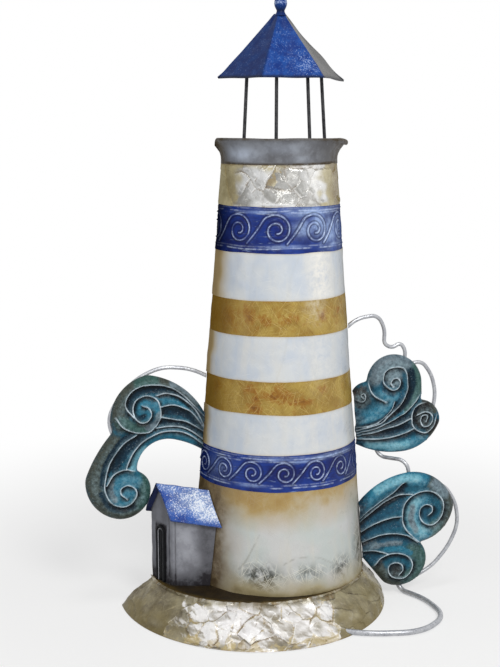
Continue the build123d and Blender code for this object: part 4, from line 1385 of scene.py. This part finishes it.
def add_hut_walls():
    """Gable and side wall folded from one sheet; travel along it is 0 at the corner."""
    rise = np.linspace(0, 1, 46)
    gable_part = np.linspace(-gable_length, -hut_corner, 26)
    corner_part = np.linspace(-hut_corner, hut_corner, 13)[1:-1]
    front_part = np.linspace(0, 1, 44)
    reaches = [tower_reach(hut_near, wall_along, deck_height + wall_rise * step) for step in rise]
    travel = np.array([
        np.r_[gable_part, corner_part, hut_corner + (reach - hut_corner) * front_part] for reach in reaches
    ])
    spread = travel[..., None] + np.linspace(-hut_bend, hut_bend, 11)
    gable_side, front_side = np.minimum(spread, 0)[..., None], np.maximum(spread, 0)[..., None]
    plan = (hut_near - gable_along * gable_side + wall_along * front_side).mean(-2)
    on_gable = fade(travel, -2.5, 2.5)
    out = unit(on_gable[..., None] * gable_out + (1 - on_gable)[..., None] * wall_front_out)
    top = np.minimum(under_slope(plan, front_eave), under_slope(plan, back_eave)) - 0.1
    z = hut_foot + (top - hut_foot) * rise[:, None]
    crown = 0.9 * smooth(travel, 4, 14) * fade(travel, 16, 28) * np.sin(np.pi * rise)[:, None]
    to_rib = np.minimum(np.abs(travel - 2.2), np.abs(travel + 4.2))
    ribs = -0.5 * bell(to_rib, 0.7)
    dents = 0.35 * wobble(travel, z, 11, 640) + 0.15 * wobble(travel, z, 4, 641)
    front = raised(plan + out * (crown + ribs + dents)[..., None], z)
    back = raised(plan - out * hut_sheet, z)
    # Painted shade: the gable, the foot, the part near the tower, under the eave, round the door and along
    # the ribs
    dark = 0.26 * on_gable + 0.75 * fade(z - deck_height, 0, 17) + 0.5 * smooth(travel, 13, 25)
    dark = np.clip(dark + 0.5 * smooth(z - top, -4, 0), 0, 1)
    beside, above = np.abs(travel + door_along) - door_half, z - deck_height - door_height
    by_door = fade(beside, 0.45, 1.75) * fade(above, 0.4, 2.2)
    # Painted highlights on the wall near the corner
    glints = [(8, deck_height + 33, 7, 14, 0.75), (13, deck_height + 20, 9, 7, 0.3), (-2, 60, 2.5, 26, 0.2)]
    layers = {
        "dark": np.clip(dark + 0.75 * by_door + 0.55 * bell(to_rib, 0.6), 0, 1),
        "painted_highlight": marks(travel, z, glints),
    }
    add_slab("hut_walls_sheet", front, back, hut_lacquer, "hut_grey", ("hut_walls",), layers, 60)


def roof_line(flat):
    """Start and end of a line along the ridge: from the gable's overhang to the tower."""
    base = ridge_start + flat[:, :1] * ridge_back + flat[:, 1:] * ridge_up
    overhang = hut_near + gable_out * hut_overhang
    first = ((overhang - base[:, :2]) @ gable_out) / (ridge_aim[:2] @ gable_out)
    last = first + 20
    for _ in range(30):
        point = base + last[:, None] * ridge_aim
        miss = np.hypot(point[:, 0], point[:, 1]) - tower_radius(point[:, 2]) - wrap_clear
        last = last + miss
    return base, first, last


def add_hut_roof():
    """Folded roof sheet: its profile runs from the front eave over the ridge to the back eave."""
    front_normal = unit(np.array([front_eave[1], -front_eave[0]]))
    back_normal = unit(np.array([-back_eave[1], back_eave[0]]))
    slope = np.linspace(1, 0, 30)[:-1, None]
    fold = np.linspace(0, 1, 7)[:, None]
    profile = np.vstack([front_eave * slope, 0 * fold * front_eave, back_eave * slope[::-1]])
    turned_normals = front_normal * (1 - fold) + back_normal * fold
    normals = unit(np.vstack([front_normal + 0 * slope, turned_normals, back_normal + 0 * slope]))
    along_share = np.linspace(0, 1, 48)
    grids = []
    for lift in (hut_sheet, 0.0):
        base, first, last = roof_line(profile + normals * lift)
        trim = 0.5 * wobble(np.arange(len(first)) * 1.0, 0 * first, 9, 650)
        travel = first[:, None] + trim[:, None] + (last - first - trim)[:, None] * along_share
        grid = base[:, None, :] + travel[..., None] * ridge_aim
        grid[..., 1] = np.minimum(grid[..., 1], 0)
        grids.append(grid)
    fall = np.r_[np.linspace(1, 0, 29), np.zeros(7), np.linspace(0, 1, 29)][:, None] + 0 * along_share
    along = along_share + 0 * fall
    lift_way = normals[:, :1] * ridge_back + normals[:, 1:] * ridge_up
    ripple = 0.25 * wobble(along * 40, fall * 30, 7, 651)
    grids[0] = grids[0] + ripple[..., None] * lift_way[:, None, :]
    on_front = np.r_[np.ones(32), np.zeros(33)][:, None]
    # Painted highlight on the front slope's upper right, with uneven frosting
    bright = bell(np.hypot((along - 0.75) / 0.4, (fall - 0.35) / 0.45))
    frost_and_highlight = 0.15 + 1.0 * bright + 0.35 * wobble(along * 36, fall * 26, 8, 652)
    layers = {
        "glitter_and_highlight": on_front * np.clip(frost_and_highlight * (1 - 0.9 * smooth(fall, 0.75, 0.97)), 0, 1.2),
        "shade": np.clip(0.92 * (1 - on_front) + 0.2 * smooth(fall, 0.8, 1.0), 0, 1),
        "edge": 0.5 * smooth(fall, 0.965, 1.0),
    }
    add_slab("hut_roof_sheet", *grids, hut_frost, "hut_roof_blue", ("hut_roof",), layers)


def add_door_part(name, x, z, out, worn):
    """Slab on the gable: x beside the door's middle line, z above its foot, pushed out from the wall."""
    foot = hut_near + gable_along * door_along - np.multiply.outer(x, gable_along)
    front, back = (raised(foot + np.multiply.outer(push, gable_out), hut_foot + z) for push in (out, 0 * out))
    add_slab(name, front, back, door_lacquer, "hut_door_dark", ("hut_door",), {"worn": worn})


def add_door_bead(name, inset, width, rise_out, worn):
    """Half-round bead bent round the door, from its left foot over a round head to its right foot."""
    half_width, top = door_half - inset, door_height - inset
    straight = np.linspace(0, top - half_width, 16)
    angles = np.linspace(np.pi, 0, 19)[1:-1]
    left = np.stack([0 * straight - half_width, straight], -1)
    head = half_width * circle(angles) + [0, top - half_width]
    path = np.vstack([left, head, left[::-1] * [-1, 1]])
    around = np.linspace(0, np.pi, 9)
    flat = path[None] + np.cos(around)[:, None, None] * side_ways(path) * width / 2
    out = 0.15 + rise_out * np.sin(around)[:, None] + 0 * path[:, 0]
    rubbed = worn * (0.25 + 0.75 * smooth(-path[:, 0], -half_width, 0)) + 0 * out
    add_door_part(name, flat[..., 0], flat[..., 1], out, rubbed)


def add_door_panel():
    """Boarded panel under the door's round head."""
    x = np.linspace(-1, 1, 25)[None, :] * (door_half - 2.2)
    top = door_height - door_half + np.sqrt(np.maximum((door_half - 2.0) ** 2 - x**2, 0))
    z = np.linspace(0, 1, 20)[:, None] * top
    x = x + 0 * z
    grooves = bell(np.abs(x) - 1.2, 0.3)
    out = 0.7 - 0.4 * grooves + 0.08 * wobble(x, z, 3, 660)
    add_door_part("hut_door_panel", x, z, out, 0 * out)


add_hut_walls()
add_hut_roof()
add_door_bead("hut_door_frame", frame_inset, 2.2, 1.3, 0.05)
add_door_bead("hut_door_bead", bead_inset, 0.9, 1.0, 0.95)
add_door_panel()

# Waves: pressed sheets with rolled rims, flowing panels and raised ridges
# Ridges and brushes run over x and z of the upright plane; arcs start at the root on the tower's flank
# A brush is a tone, a half width, a lift and its path
left_wave = {
    "node": "wave_left",
    "side": -1,
    "root_height": 132.0,
    "front": 5.6,
    "arcs": [
        (3, 9), (-15, 33.5), (-42, 45), (-62, 33), (-69.5, 15), (-69, 9), (-67.5, 4),
        (-80.5, -13.5), (-88.7, -31), (-83.5, -51), (-65, -63), (-46, -56), (-40.5, -42),
        (-42.5, -33.5), (-50.7, -27), (-44, -10.5), (-24, -4.3), (-11, -8.5), (2, -16),
    ],
    "ridges": [
        [(-104, 154.5), (-99.7, 152.7), (-97.7, 147.6), (-100.6, 142.7), (-105.6, 142), (-109.7, 145.8),
         (-111.2, 152.6), (-108.7, 159), (-101.2, 162), (-93.8, 159), (-91, 152), (-91.1, 144.6),
         (-95, 138), (-101, 134.2), (-110.7, 135), (-119, 139.6), (-123.5, 146)],
        [(-117.3, 85.5), (-121, 88.8), (-121, 93), (-116.3, 95.3), (-111.4, 93.2), (-109.4, 88.8),
         (-111.5, 83.8), (-115.8, 79.8), (-122.4, 79.5), (-129, 83.4), (-133, 92.3), (-132.3, 100.7),
         (-130, 110), (-125.8, 118), (-118.3, 127), (-109, 132.6)],
        [(-110.5, 146), (-116, 153), (-116.5, 158.7), (-112.7, 165), (-105.2, 169.4), (-93.6, 169.8),
         (-83.7, 167.4), (-75.4, 162.3), (-67, 154), (-56, 142)],
        [(-93.8, 161.6), (-87, 163), (-78, 160.6), (-70.5, 155.3), (-63.8, 148), (-58, 136)],
        [(-90.5, 153), (-81.4, 154), (-73, 151), (-66.3, 146.5), (-57, 133)],
        [(-90.6, 145.4), (-79, 142.6), (-70.6, 140.4), (-56, 131)],
        [(-94, 137.2), (-85.7, 138), (-75.7, 137), (-67.3, 133), (-56, 124)],
        [(-117, 107.3), (-115, 113), (-111, 120.5), (-104, 127.7), (-94, 133), (-85.8, 134.6),
         (-75.7, 133.5), (-67.3, 129.5), (-56, 120)],
        [(-131.5, 96), (-126, 104), (-117, 107.3), (-108.5, 105)],
    ],
    "brushes": [
        ("olive", 8, 1.2, [(-60, 152), (-72, 163.5), (-84, 171.5), (-99, 173.5), (-111, 169.5),
                           (-119.5, 161), (-122, 150), (-120, 142)]),
        ("olive", 8.5, 1.4, [(-127, 129), (-134, 119), (-140, 106), (-140.5, 93), (-135, 81), (-124, 74.5),
                             (-112, 75), (-104, 82)]),
        ("green", 6, 0.6, [(-96, 173.5), (-106, 171.5)]),
        ("green", 6, 0.6, [(-120, 143), (-112, 138.5), (-103, 138)]),
        ("teal", 4.6, 1.4, [(-112.5, 107), (-108.5, 117), (-101, 125), (-92, 130), (-83, 131),
                            (-75, 130), (-67, 126), (-59, 119)]),
        ("teal", 3.8, 0.8, [(-91, 157.5), (-82, 158), (-74, 154.5), (-66, 147)]),
        ("sky", 3.2, 0.3, [(-112.5, 106), (-109.5, 115), (-103.5, 122.5)]),
        ("teal", 8, 0.9, [(-104, 151), (-98, 156), (-95, 148)]),
        ("teal", 9, 1.2, [(-125, 95), (-121, 86), (-113, 99), (-122, 98)]),
        ("green", 8, 1.0, [(-106, 98), (-102, 90), (-107, 82)]),
        ("pale", 3.6, 0.2, [(-100, 138), (-94, 141.5), (-91.5, 147)]),
        ("pale", 3.0, 0.2, [(-82, 170), (-72, 164), (-63, 155)]),
        ("pale", 3.0, 0.2, [(-128, 100), (-129, 92), (-126, 85)]),
        ("night", 3.6, -1.6, [(-113, 150), (-113, 158), (-109, 164), (-101, 166), (-92, 166), (-82, 163.5),
                             (-72, 156.5), (-62, 146)]),
        ("night", 3.6, -1.0, [(-87, 149), (-78, 148.5), (-70, 145), (-58, 134)]),
        ("night", 2.8, -1.2, [(-92, 141), (-80, 140), (-70, 136.5), (-58, 128)]),
        ("night", 4.5, -1.2, [(-126, 108), (-121, 116), (-114, 124), (-105, 131)]),
        ("night", 2.6, -1.2, [(-135, 97), (-133.5, 108), (-129, 118), (-121, 128), (-112, 134)]),
        ("night", 3.0, -0.8, [(-103, 147), (-107, 145)]),
        ("night", 3.0, -0.9, [(-135.5, 90), (-130, 80), (-121, 76.8), (-112, 79)]),
    ],
}
upper_wave = {
    "node": "wave_upper_right",
    "side": 1,
    "root_height": 125.0,
    "front": 14.0,
    "arcs": [
        (-5, 28), (-1, 36.5), (8, 39.8), (14, 54), (27, 60), (45.5, 53), (52.2, 35), (52.4, 29),
        (51.6, 23.6), (63.5, 18), (67.8, 6), (57, -9), (36, -16.5), (17, -14.7), (-3, -6.5),
    ],
    "ridges": [
        [(86.3, 161), (84.7, 163.4), (86.5, 166.7), (90, 167), (92.4, 163.8), (91, 159.4), (86.3, 158),
         (81, 161.4), (78.4, 166.7), (80, 172.6), (86, 175.6), (93.7, 175), (97.6, 170.2), (98.6, 163.4),
         (98.5, 156), (92.8, 145), (83.7, 136.6), (76, 131), (54, 126.6)],
        [(63, 152.7), (61.5, 154), (60.7, 155.5), (63, 156.4), (64.5, 154), (63.4, 151), (60.4, 150.5),
         (57, 152)],
        [(114.2, 132.5), (115.3, 135.4), (113.3, 137), (110.2, 135.8), (109.5, 132), (112, 128),
         (116.6, 128.5), (119.7, 133), (118, 137.6), (113, 139.5), (107, 137.5)],
        [(114.6, 147), (107, 145), (103, 138.4), (103.3, 130), (107.3, 125), (114.4, 123), (120, 128),
         (123, 136)],
        [(66.8, 166), (68.6, 158.4), (73.3, 153), (80, 149.5)],
        [(88, 148.3), (86, 141.7), (79, 134.6), (70.7, 130.6), (54, 129.3)],
        [(110.4, 155), (102, 144.5), (94.5, 138), (83.8, 132), (72.3, 127.5), (54, 125.2)],
        [(102.4, 134.7), (91.6, 130), (82.3, 127.7), (70.8, 124.6), (54, 123.6)],
        [(104, 126.3), (95.6, 123), (84, 120.8), (72.4, 120.4), (54, 122)],
    ],
    "brushes": [
        ("pale", 8, 1.2, [(73, 168), (77, 177), (86, 180.5), (96, 178)]),
        ("green", 5, 1.5, [(104, 176), (107.5, 167), (107, 158), (102, 149.5), (95, 142)]),
        ("teal", 8, 1.6, [(82, 153), (80, 144), (72, 138), (62, 135.5), (54, 135)]),
        ("teal", 6, 0.8, [(80, 156), (88, 154), (93, 150)]),
        ("pale", 7, 1.6, [(88, 165), (88, 171), (83, 167)]),
        ("teal", 2.6, 0.6, [(94, 141), (84, 135), (74, 130), (58, 126)]),
        ("teal", 6.5, 1.4, [(112, 118), (103, 115), (92, 114), (80, 115), (68, 117.5), (54, 120)]),
        ("sky", 4.5, 0.2, [(98, 114.5), (88, 113.5), (77, 115.5), (66, 117.5)]),
        ("umber", 9, 0.9, [(112, 132), (109, 136), (112, 141)]),
        ("umber", 5, 0.5, [(117, 127), (122, 129)]),
        ("olive", 5, 0.8, [(123, 128), (118, 121.5), (112, 118)]),
        ("olive", 5, 0.8, [(113, 145), (120, 141)]),
        ("umber", 10, 1.8, [(61, 152), (60, 155)]),
        ("night", 3.6, -1.8, [(101, 172), (102.5, 163), (100, 153), (94, 144.5), (86, 138), (76, 132),
                              (54, 127.3)]),
        ("navy", 3.0, -1.2, [(95, 155), (91, 147), (84, 139), (74, 133), (58, 130)]),
        ("night", 3.6, -1.8, [(100, 136), (92, 133.5), (82, 129.8), (64, 125.5)]),
        ("night", 3.4, -1.6, [(102, 129.5), (92, 126), (80, 124), (64, 123)]),
        ("navy", 3.2, -1.0, [(79, 164), (80, 159), (86, 155.5)]),
        ("navy", 2.2, -1.0, [(105, 142), (101, 137)]),
    ],
}
lower_wave = {
    "node": "wave_lower_right",
    "side": 1,
    "root_height": 55.0,
    "front": 30.0,
    "arcs": [
        (-10, 18), (9, 34.5), (32, 41.3), (57, 33), (69, 13), (62, -4), (42, -14.7), (47.5, -28),
        (41, -42.5), (27, -48.3), (13, -44.5),
    ],
    "foot": (-6, -21),
    "ridges": [
        [(112, 62.2), (114.6, 64.6), (114, 68.7), (109.2, 70.6), (104.6, 68), (104.2, 61.8), (108, 56),
         (114.3, 54.4), (120.5, 58.5), (123.5, 65.4), (122.2, 73.7), (115.7, 79.8), (107.4, 81.4), (98, 78.6),
         (92, 72), (90.2, 63), (92.4, 53.6), (98.9, 46), (106, 40)],
        [(89, 17), (91.6, 19.8), (90.5, 24), (85.8, 26), (81, 24.4), (79.7, 20), (83, 15), (90.2, 13.3),
         (96.4, 16.3), (99.4, 23.3), (96, 29.7), (88.7, 33), (80.4, 33.2), (73.3, 29.7), (68, 24.5)],
        [(90.6, 89), (81.5, 81), (71.4, 74.6), (61.3, 67.3), (52, 58)],
        [(98, 79.6), (87.7, 79.4), (75.5, 74.3), (64.4, 66), (52, 57)],
        [(90.2, 62.5), (82, 62), (71.7, 59.4), (63.5, 56), (50, 48)],
        [(103, 41.5), (94.7, 46.8), (84.2, 49.2), (72, 48.7), (52, 42.5)],
        [(79.4, 33.3), (74.2, 35.3), (66, 37.3), (52, 37)],
    ],
    "brushes": [
        ("teal", 6.5, 1.4, [(56, 73), (64, 80), (74, 87), (84, 91), (95, 92.5), (106, 91)]),
        ("sky", 4.0, 0.3, [(70, 84.5), (80, 89.5), (92, 92), (102, 92)]),
        ("olive", 7.5, 1.3, [(116, 86.5), (125, 78), (128.5, 67), (125.5, 57), (117, 48), (109, 44)]),
        ("pale", 6, 0.5, [(117, 86), (124, 79)]),
        ("teal", 11, 1.4, [(103, 74), (97, 66), (99, 56), (105, 49)]),
        ("sky", 5.0, 0.2, [(101, 73), (96, 65), (99, 55), (106, 50)]),
        ("pale", 3.2, 0.3, [(98, 70), (97, 60), (101, 51)]),
        ("green", 8, 1.0, [(117, 52), (112, 48)]),
        ("green", 8, 1.2, [(100, 36), (106, 28), (104, 19), (96, 13)]),
        ("olive", 7, 0.9, [(88, 10.5), (79, 14), (72, 22)]),
        ("umber", 8, 0.7, [(86, 19)]),
        ("pale", 4.0, 0.9, [(88, 43), (76, 43), (62, 40)]),
        ("night", 4.0, -1.4, [(91, 86), (86, 79), (75, 73), (60, 63)]),
        ("navy", 5.0, -1.3, [(89, 74), (86, 70), (78, 67), (66, 62.5), (54, 55)]),
        ("navy", 4.4, -1.2, [(90, 57), (82, 56), (70, 53.5), (54, 46)]),
        ("navy", 3.0, -1.0, [(97, 43), (86, 46), (72, 45)]),
        ("navy", 3.6, -0.9, [(74, 31), (66, 31)]),
        ("teal", 3.0, 0.2, [(78, 37), (88, 37), (97, 33)]),
        ("navy", 4.0, -0.8, [(109, 66), (108, 62)]),
    ],
}
rim_roll, rim_rise, rim_edge = 5.5, 2.6, 0.9
ridge_rise, ridge_width = 1.0, 0.42
ridge_rows = (0.0, 0.3, -0.3, 0.65, -0.65, 1.1, -1.1)
wave_mesh_step = 1.3
pressed_sheet = 1.1
shade_way = np.array([0.5, -0.85])


def arc_between(start, middle, end, step):
    """Even points on the arc through three points, without its end."""
    (ax, ay), (bx, by), (cx, cy) = start, middle, end
    twice = 2 * (ax * (by - cy) + bx * (cy - ay) + cx * (ay - by))
    squares = [ax**2 + ay**2, bx**2 + by**2, cx**2 + cy**2]
    x = (squares[0] * (by - cy) + squares[1] * (cy - ay) + squares[2] * (ay - by)) / twice
    y = (squares[0] * (cx - bx) + squares[1] * (ax - cx) + squares[2] * (bx - ax)) / twice
    first, mid, last = (math.atan2(py - y, px - x) for px, py in (start, middle, end))
    full = 2 * math.pi
    sweep = (last - first) % full
    if (mid - first) % full > sweep:
        sweep -= full
    radius = math.hypot(ax - x, ay - y)
    count = max(3, int(abs(sweep) * radius / step))
    angles = first + sweep * np.arange(count) / count
    return [x, y] + radius * circle(angles)


def inside(points, outline):
    """Which points lie inside a closed outline."""
    x, y = points[:, 0], points[:, 1]
    result = np.zeros(len(points), bool)
    for (ax, ay), (bx, by) in zip(outline, np.roll(outline, -1, axis=0)):
        crosses = (ay > y) != (by > y)
        if ay != by:
            result ^= crosses & (x < ax + (y - ay) * (bx - ax) / (by - ay))
    return result


def wave_outline(wave):
    """Free edge of a wave and its closed outline, cut along the tower's flank."""
    side = wave["side"]
    origin = np.array([side * tower_radius(wave["root_height"]), wave["root_height"]])
    knots = [np.array(knot) + origin for knot in wave["arcs"]]
    runs = [arc_between(*trio, 1.1) for trio in zip(knots[0::2], knots[1::2], knots[2::2])]
    free = np.vstack([*runs, knots[-1:]])
    if "foot" in wave:
        foot = np.array(wave["foot"]) + origin
        free = np.vstack([free, np.linspace(knots[-1], foot, 20)[1:]])

    def flank(z):
        return side * np.sqrt((tower_radius(z) + wrap_clear) ** 2 - wave["front"] ** 2)

    for _ in range(4):
        free[1:-1] = 0.25 * free[:-2] + 0.5 * free[1:-1] + 0.25 * free[2:]
    free = free[side * free[:, 0] > side * flank(free[:, 1])]
    heights = np.linspace(free[-1, 1], free[0, 1], max(6, int(abs(free[0, 1] - free[-1, 1]) / 1.2)))
    root = np.stack([flank(heights), heights], -1)
    return free, np.vstack([free, root])


def wave_mesh(outline, ridges):
    """Points and triangles that fill an outline, with rows of points along the ridges."""
    every_ridge = np.vstack(ridges)
    low, high = outline.min(0), outline.max(0)
    across = np.arange(low[0], high[0], wave_mesh_step)
    upward = np.arange(low[1], high[1], wave_mesh_step * 0.866)
    field = np.stack(np.meshgrid(across, upward), -1)
    field[1::2, :, 0] += wave_mesh_step / 2
    field = field.reshape(-1, 2)
    rows = [field[near_curve(field, every_ridge) > 1.65]]
    for ridge in ridges:
        for offset in ridge_rows:
            row = ridge + side_ways(ridge) * offset
            rows.append(row[near_curve(row, every_ridge) > 0.85 * abs(offset)])
    loose = np.vstack(rows)
    loose = loose[inside(loose, outline)]
    loose = loose[near_curve(loose, outline) > 0.55]
    points = [Vector(point) for point in np.vstack([outline, loose])]
    made = delaunay_2d_cdt(points, [], [list(range(len(outline)))], 1, 0.02)
    return np.array([tuple(point) for point in made[0]]), np.array([list(face) for face in made[2]])


def add_wave(wave):
    """Pressed wave sheet: a rolled rim, brushed swells and hollows, and thin worn ridges."""
    free, outline = wave_outline(wave)
    ridges = [spline(path, 0.8) for path in wave["ridges"]]
    flat, triangles = wave_mesh(outline, ridges)

    edge = near_curve(flat, free)
    roll = 1 - np.clip(edge / rim_roll, 0, 1)
    height = rim_rise * np.sqrt(1 - roll**2)
    within = smooth(edge, 0, rim_roll)
    tones = {tone: np.zeros(len(flat)) for tone in wave_tones}
    for tone, width, lift, path in wave["brushes"]:
        stroke = near_curve(flat, spline(path, 1.0))
        tones[tone] = np.maximum(tones[tone], fade(stroke, 0.3 * width, 1.25 * width))
        height = height + lift * bell(stroke, 0.75 * width) * within
    # Painted shade where the wave meets the tower, in the navy and night tones
    from_tower = np.hypot(flat[:, 0], wave["front"]) - tower_radius(flat[:, 1])
    for tone, strength, low, high in (("navy", 0.8, 2, 14), ("night", 0.9, 0, 11)):
        root_shade = strength * fade(from_tower, low, high) * (1 - tones["umber"])
        tones[tone] = np.maximum(tones[tone], root_shade)
    offset = offset_to(flat, np.vstack(ridges))
    gap = np.linalg.norm(offset, axis=1)
    shaded = smooth((offset @ shade_way) / np.maximum(gap, 0.01), -0.3, 0.6)
    dip = bell(gap - 1.0, 0.7) * (0.4 + 0.6 * shaded) + 0.6 * shaded * bell(gap, 2.6)
    height = height + within * (ridge_rise * bell(gap, ridge_width) - 0.7 * dip)
    height = height + 0.25 * within * wobble(flat[:, 0], flat[:, 1], 4, 500)
    height = np.maximum(height, 0)

    # Ridges painted dimmer near the tower: painted shade
    ridge = fade(gap, 0.22, 0.62) * (0.35 + 0.65 * smooth(from_tower, 2, 14))
    # Painted shade on the side of each ridge turned from the light
    groove_shade = bell(gap - 1.2, 0.6) * (0.15 + 0.85 * shaded) + 0.9 * shaded * bell(gap - 1.3, 2.7)
    lit = (1 - shaded) * bell(gap - 1.0, 0.9)
    layers = {tone: np.tile(values, 2) for tone, values in tones.items()}
    layers["ridge"] = np.r_[ridge * within, 0 * gap]
    layers["groove_shade"] = np.tile(within * np.clip(groove_shade, 0, 1), 2)
    # Raised rims and the lit side of each ridge painted lighter: painted highlight
    layers["crest"] = np.tile(np.clip(smooth(height, 2.6, 4.6) + 0.6 * lit, 0, 1) * within, 2)

    back_plane = wave_sheet - wave["front"]
    front = np.stack([flat[:, 0], back_plane - rim_edge - height, flat[:, 1]], -1)
    back = np.stack([flat[:, 0], np.minimum(back_plane, front[:, 1] + pressed_sheet), flat[:, 1]], -1)
    count = len(flat)
    sides = np.sort(np.vstack([triangles[:, [0, 1]], triangles[:, [1, 2]], triangles[:, [2, 0]]]), axis=1)
    border, uses = np.unique(sides, axis=0, return_counts=True)
    faces = triangles.tolist() + (triangles[:, ::-1] + count).tolist()
    faces += [[a, b, b + count, a + count] for a, b in border[uses == 1].tolist()]
    points = np.vstack([front, back])
    add_piece(wave["node"] + "_sheet", points, faces, teal, "wave_teal", (wave["node"],), layers, 70)


for wave in (left_wave, upper_wave, lower_wave):
    add_wave(wave)

# Materials on the carried solids
for node_name, paint in {
    "base_back_rail": back_lacquer,
    "tower_shell": core_lacquer,
    "gallery_floor": back_lacquer,
    **{f"back_brace_{place}": back_lacquer for place in ("lower", "middle", "upper")},
    **{f"lantern_post_{order}": post_lacquer for order in (1, 2, 3, 4)},
    **{f"wire_{place}": wire_lacquer for place in
       ("left", "right_top", "right_side", "right_outer", "right_link", "foot")},
}.items():
    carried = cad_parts[node_name]
    carried.data.materials.clear()
    carried.data.materials.append(paint)

# Sizes of the solids and of the dressed part
dressed_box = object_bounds()
boxes = {"cad": cad_box, "visual": dressed_box}
{name: [list(corner) for corner in box] for name, box in boxes.items()}
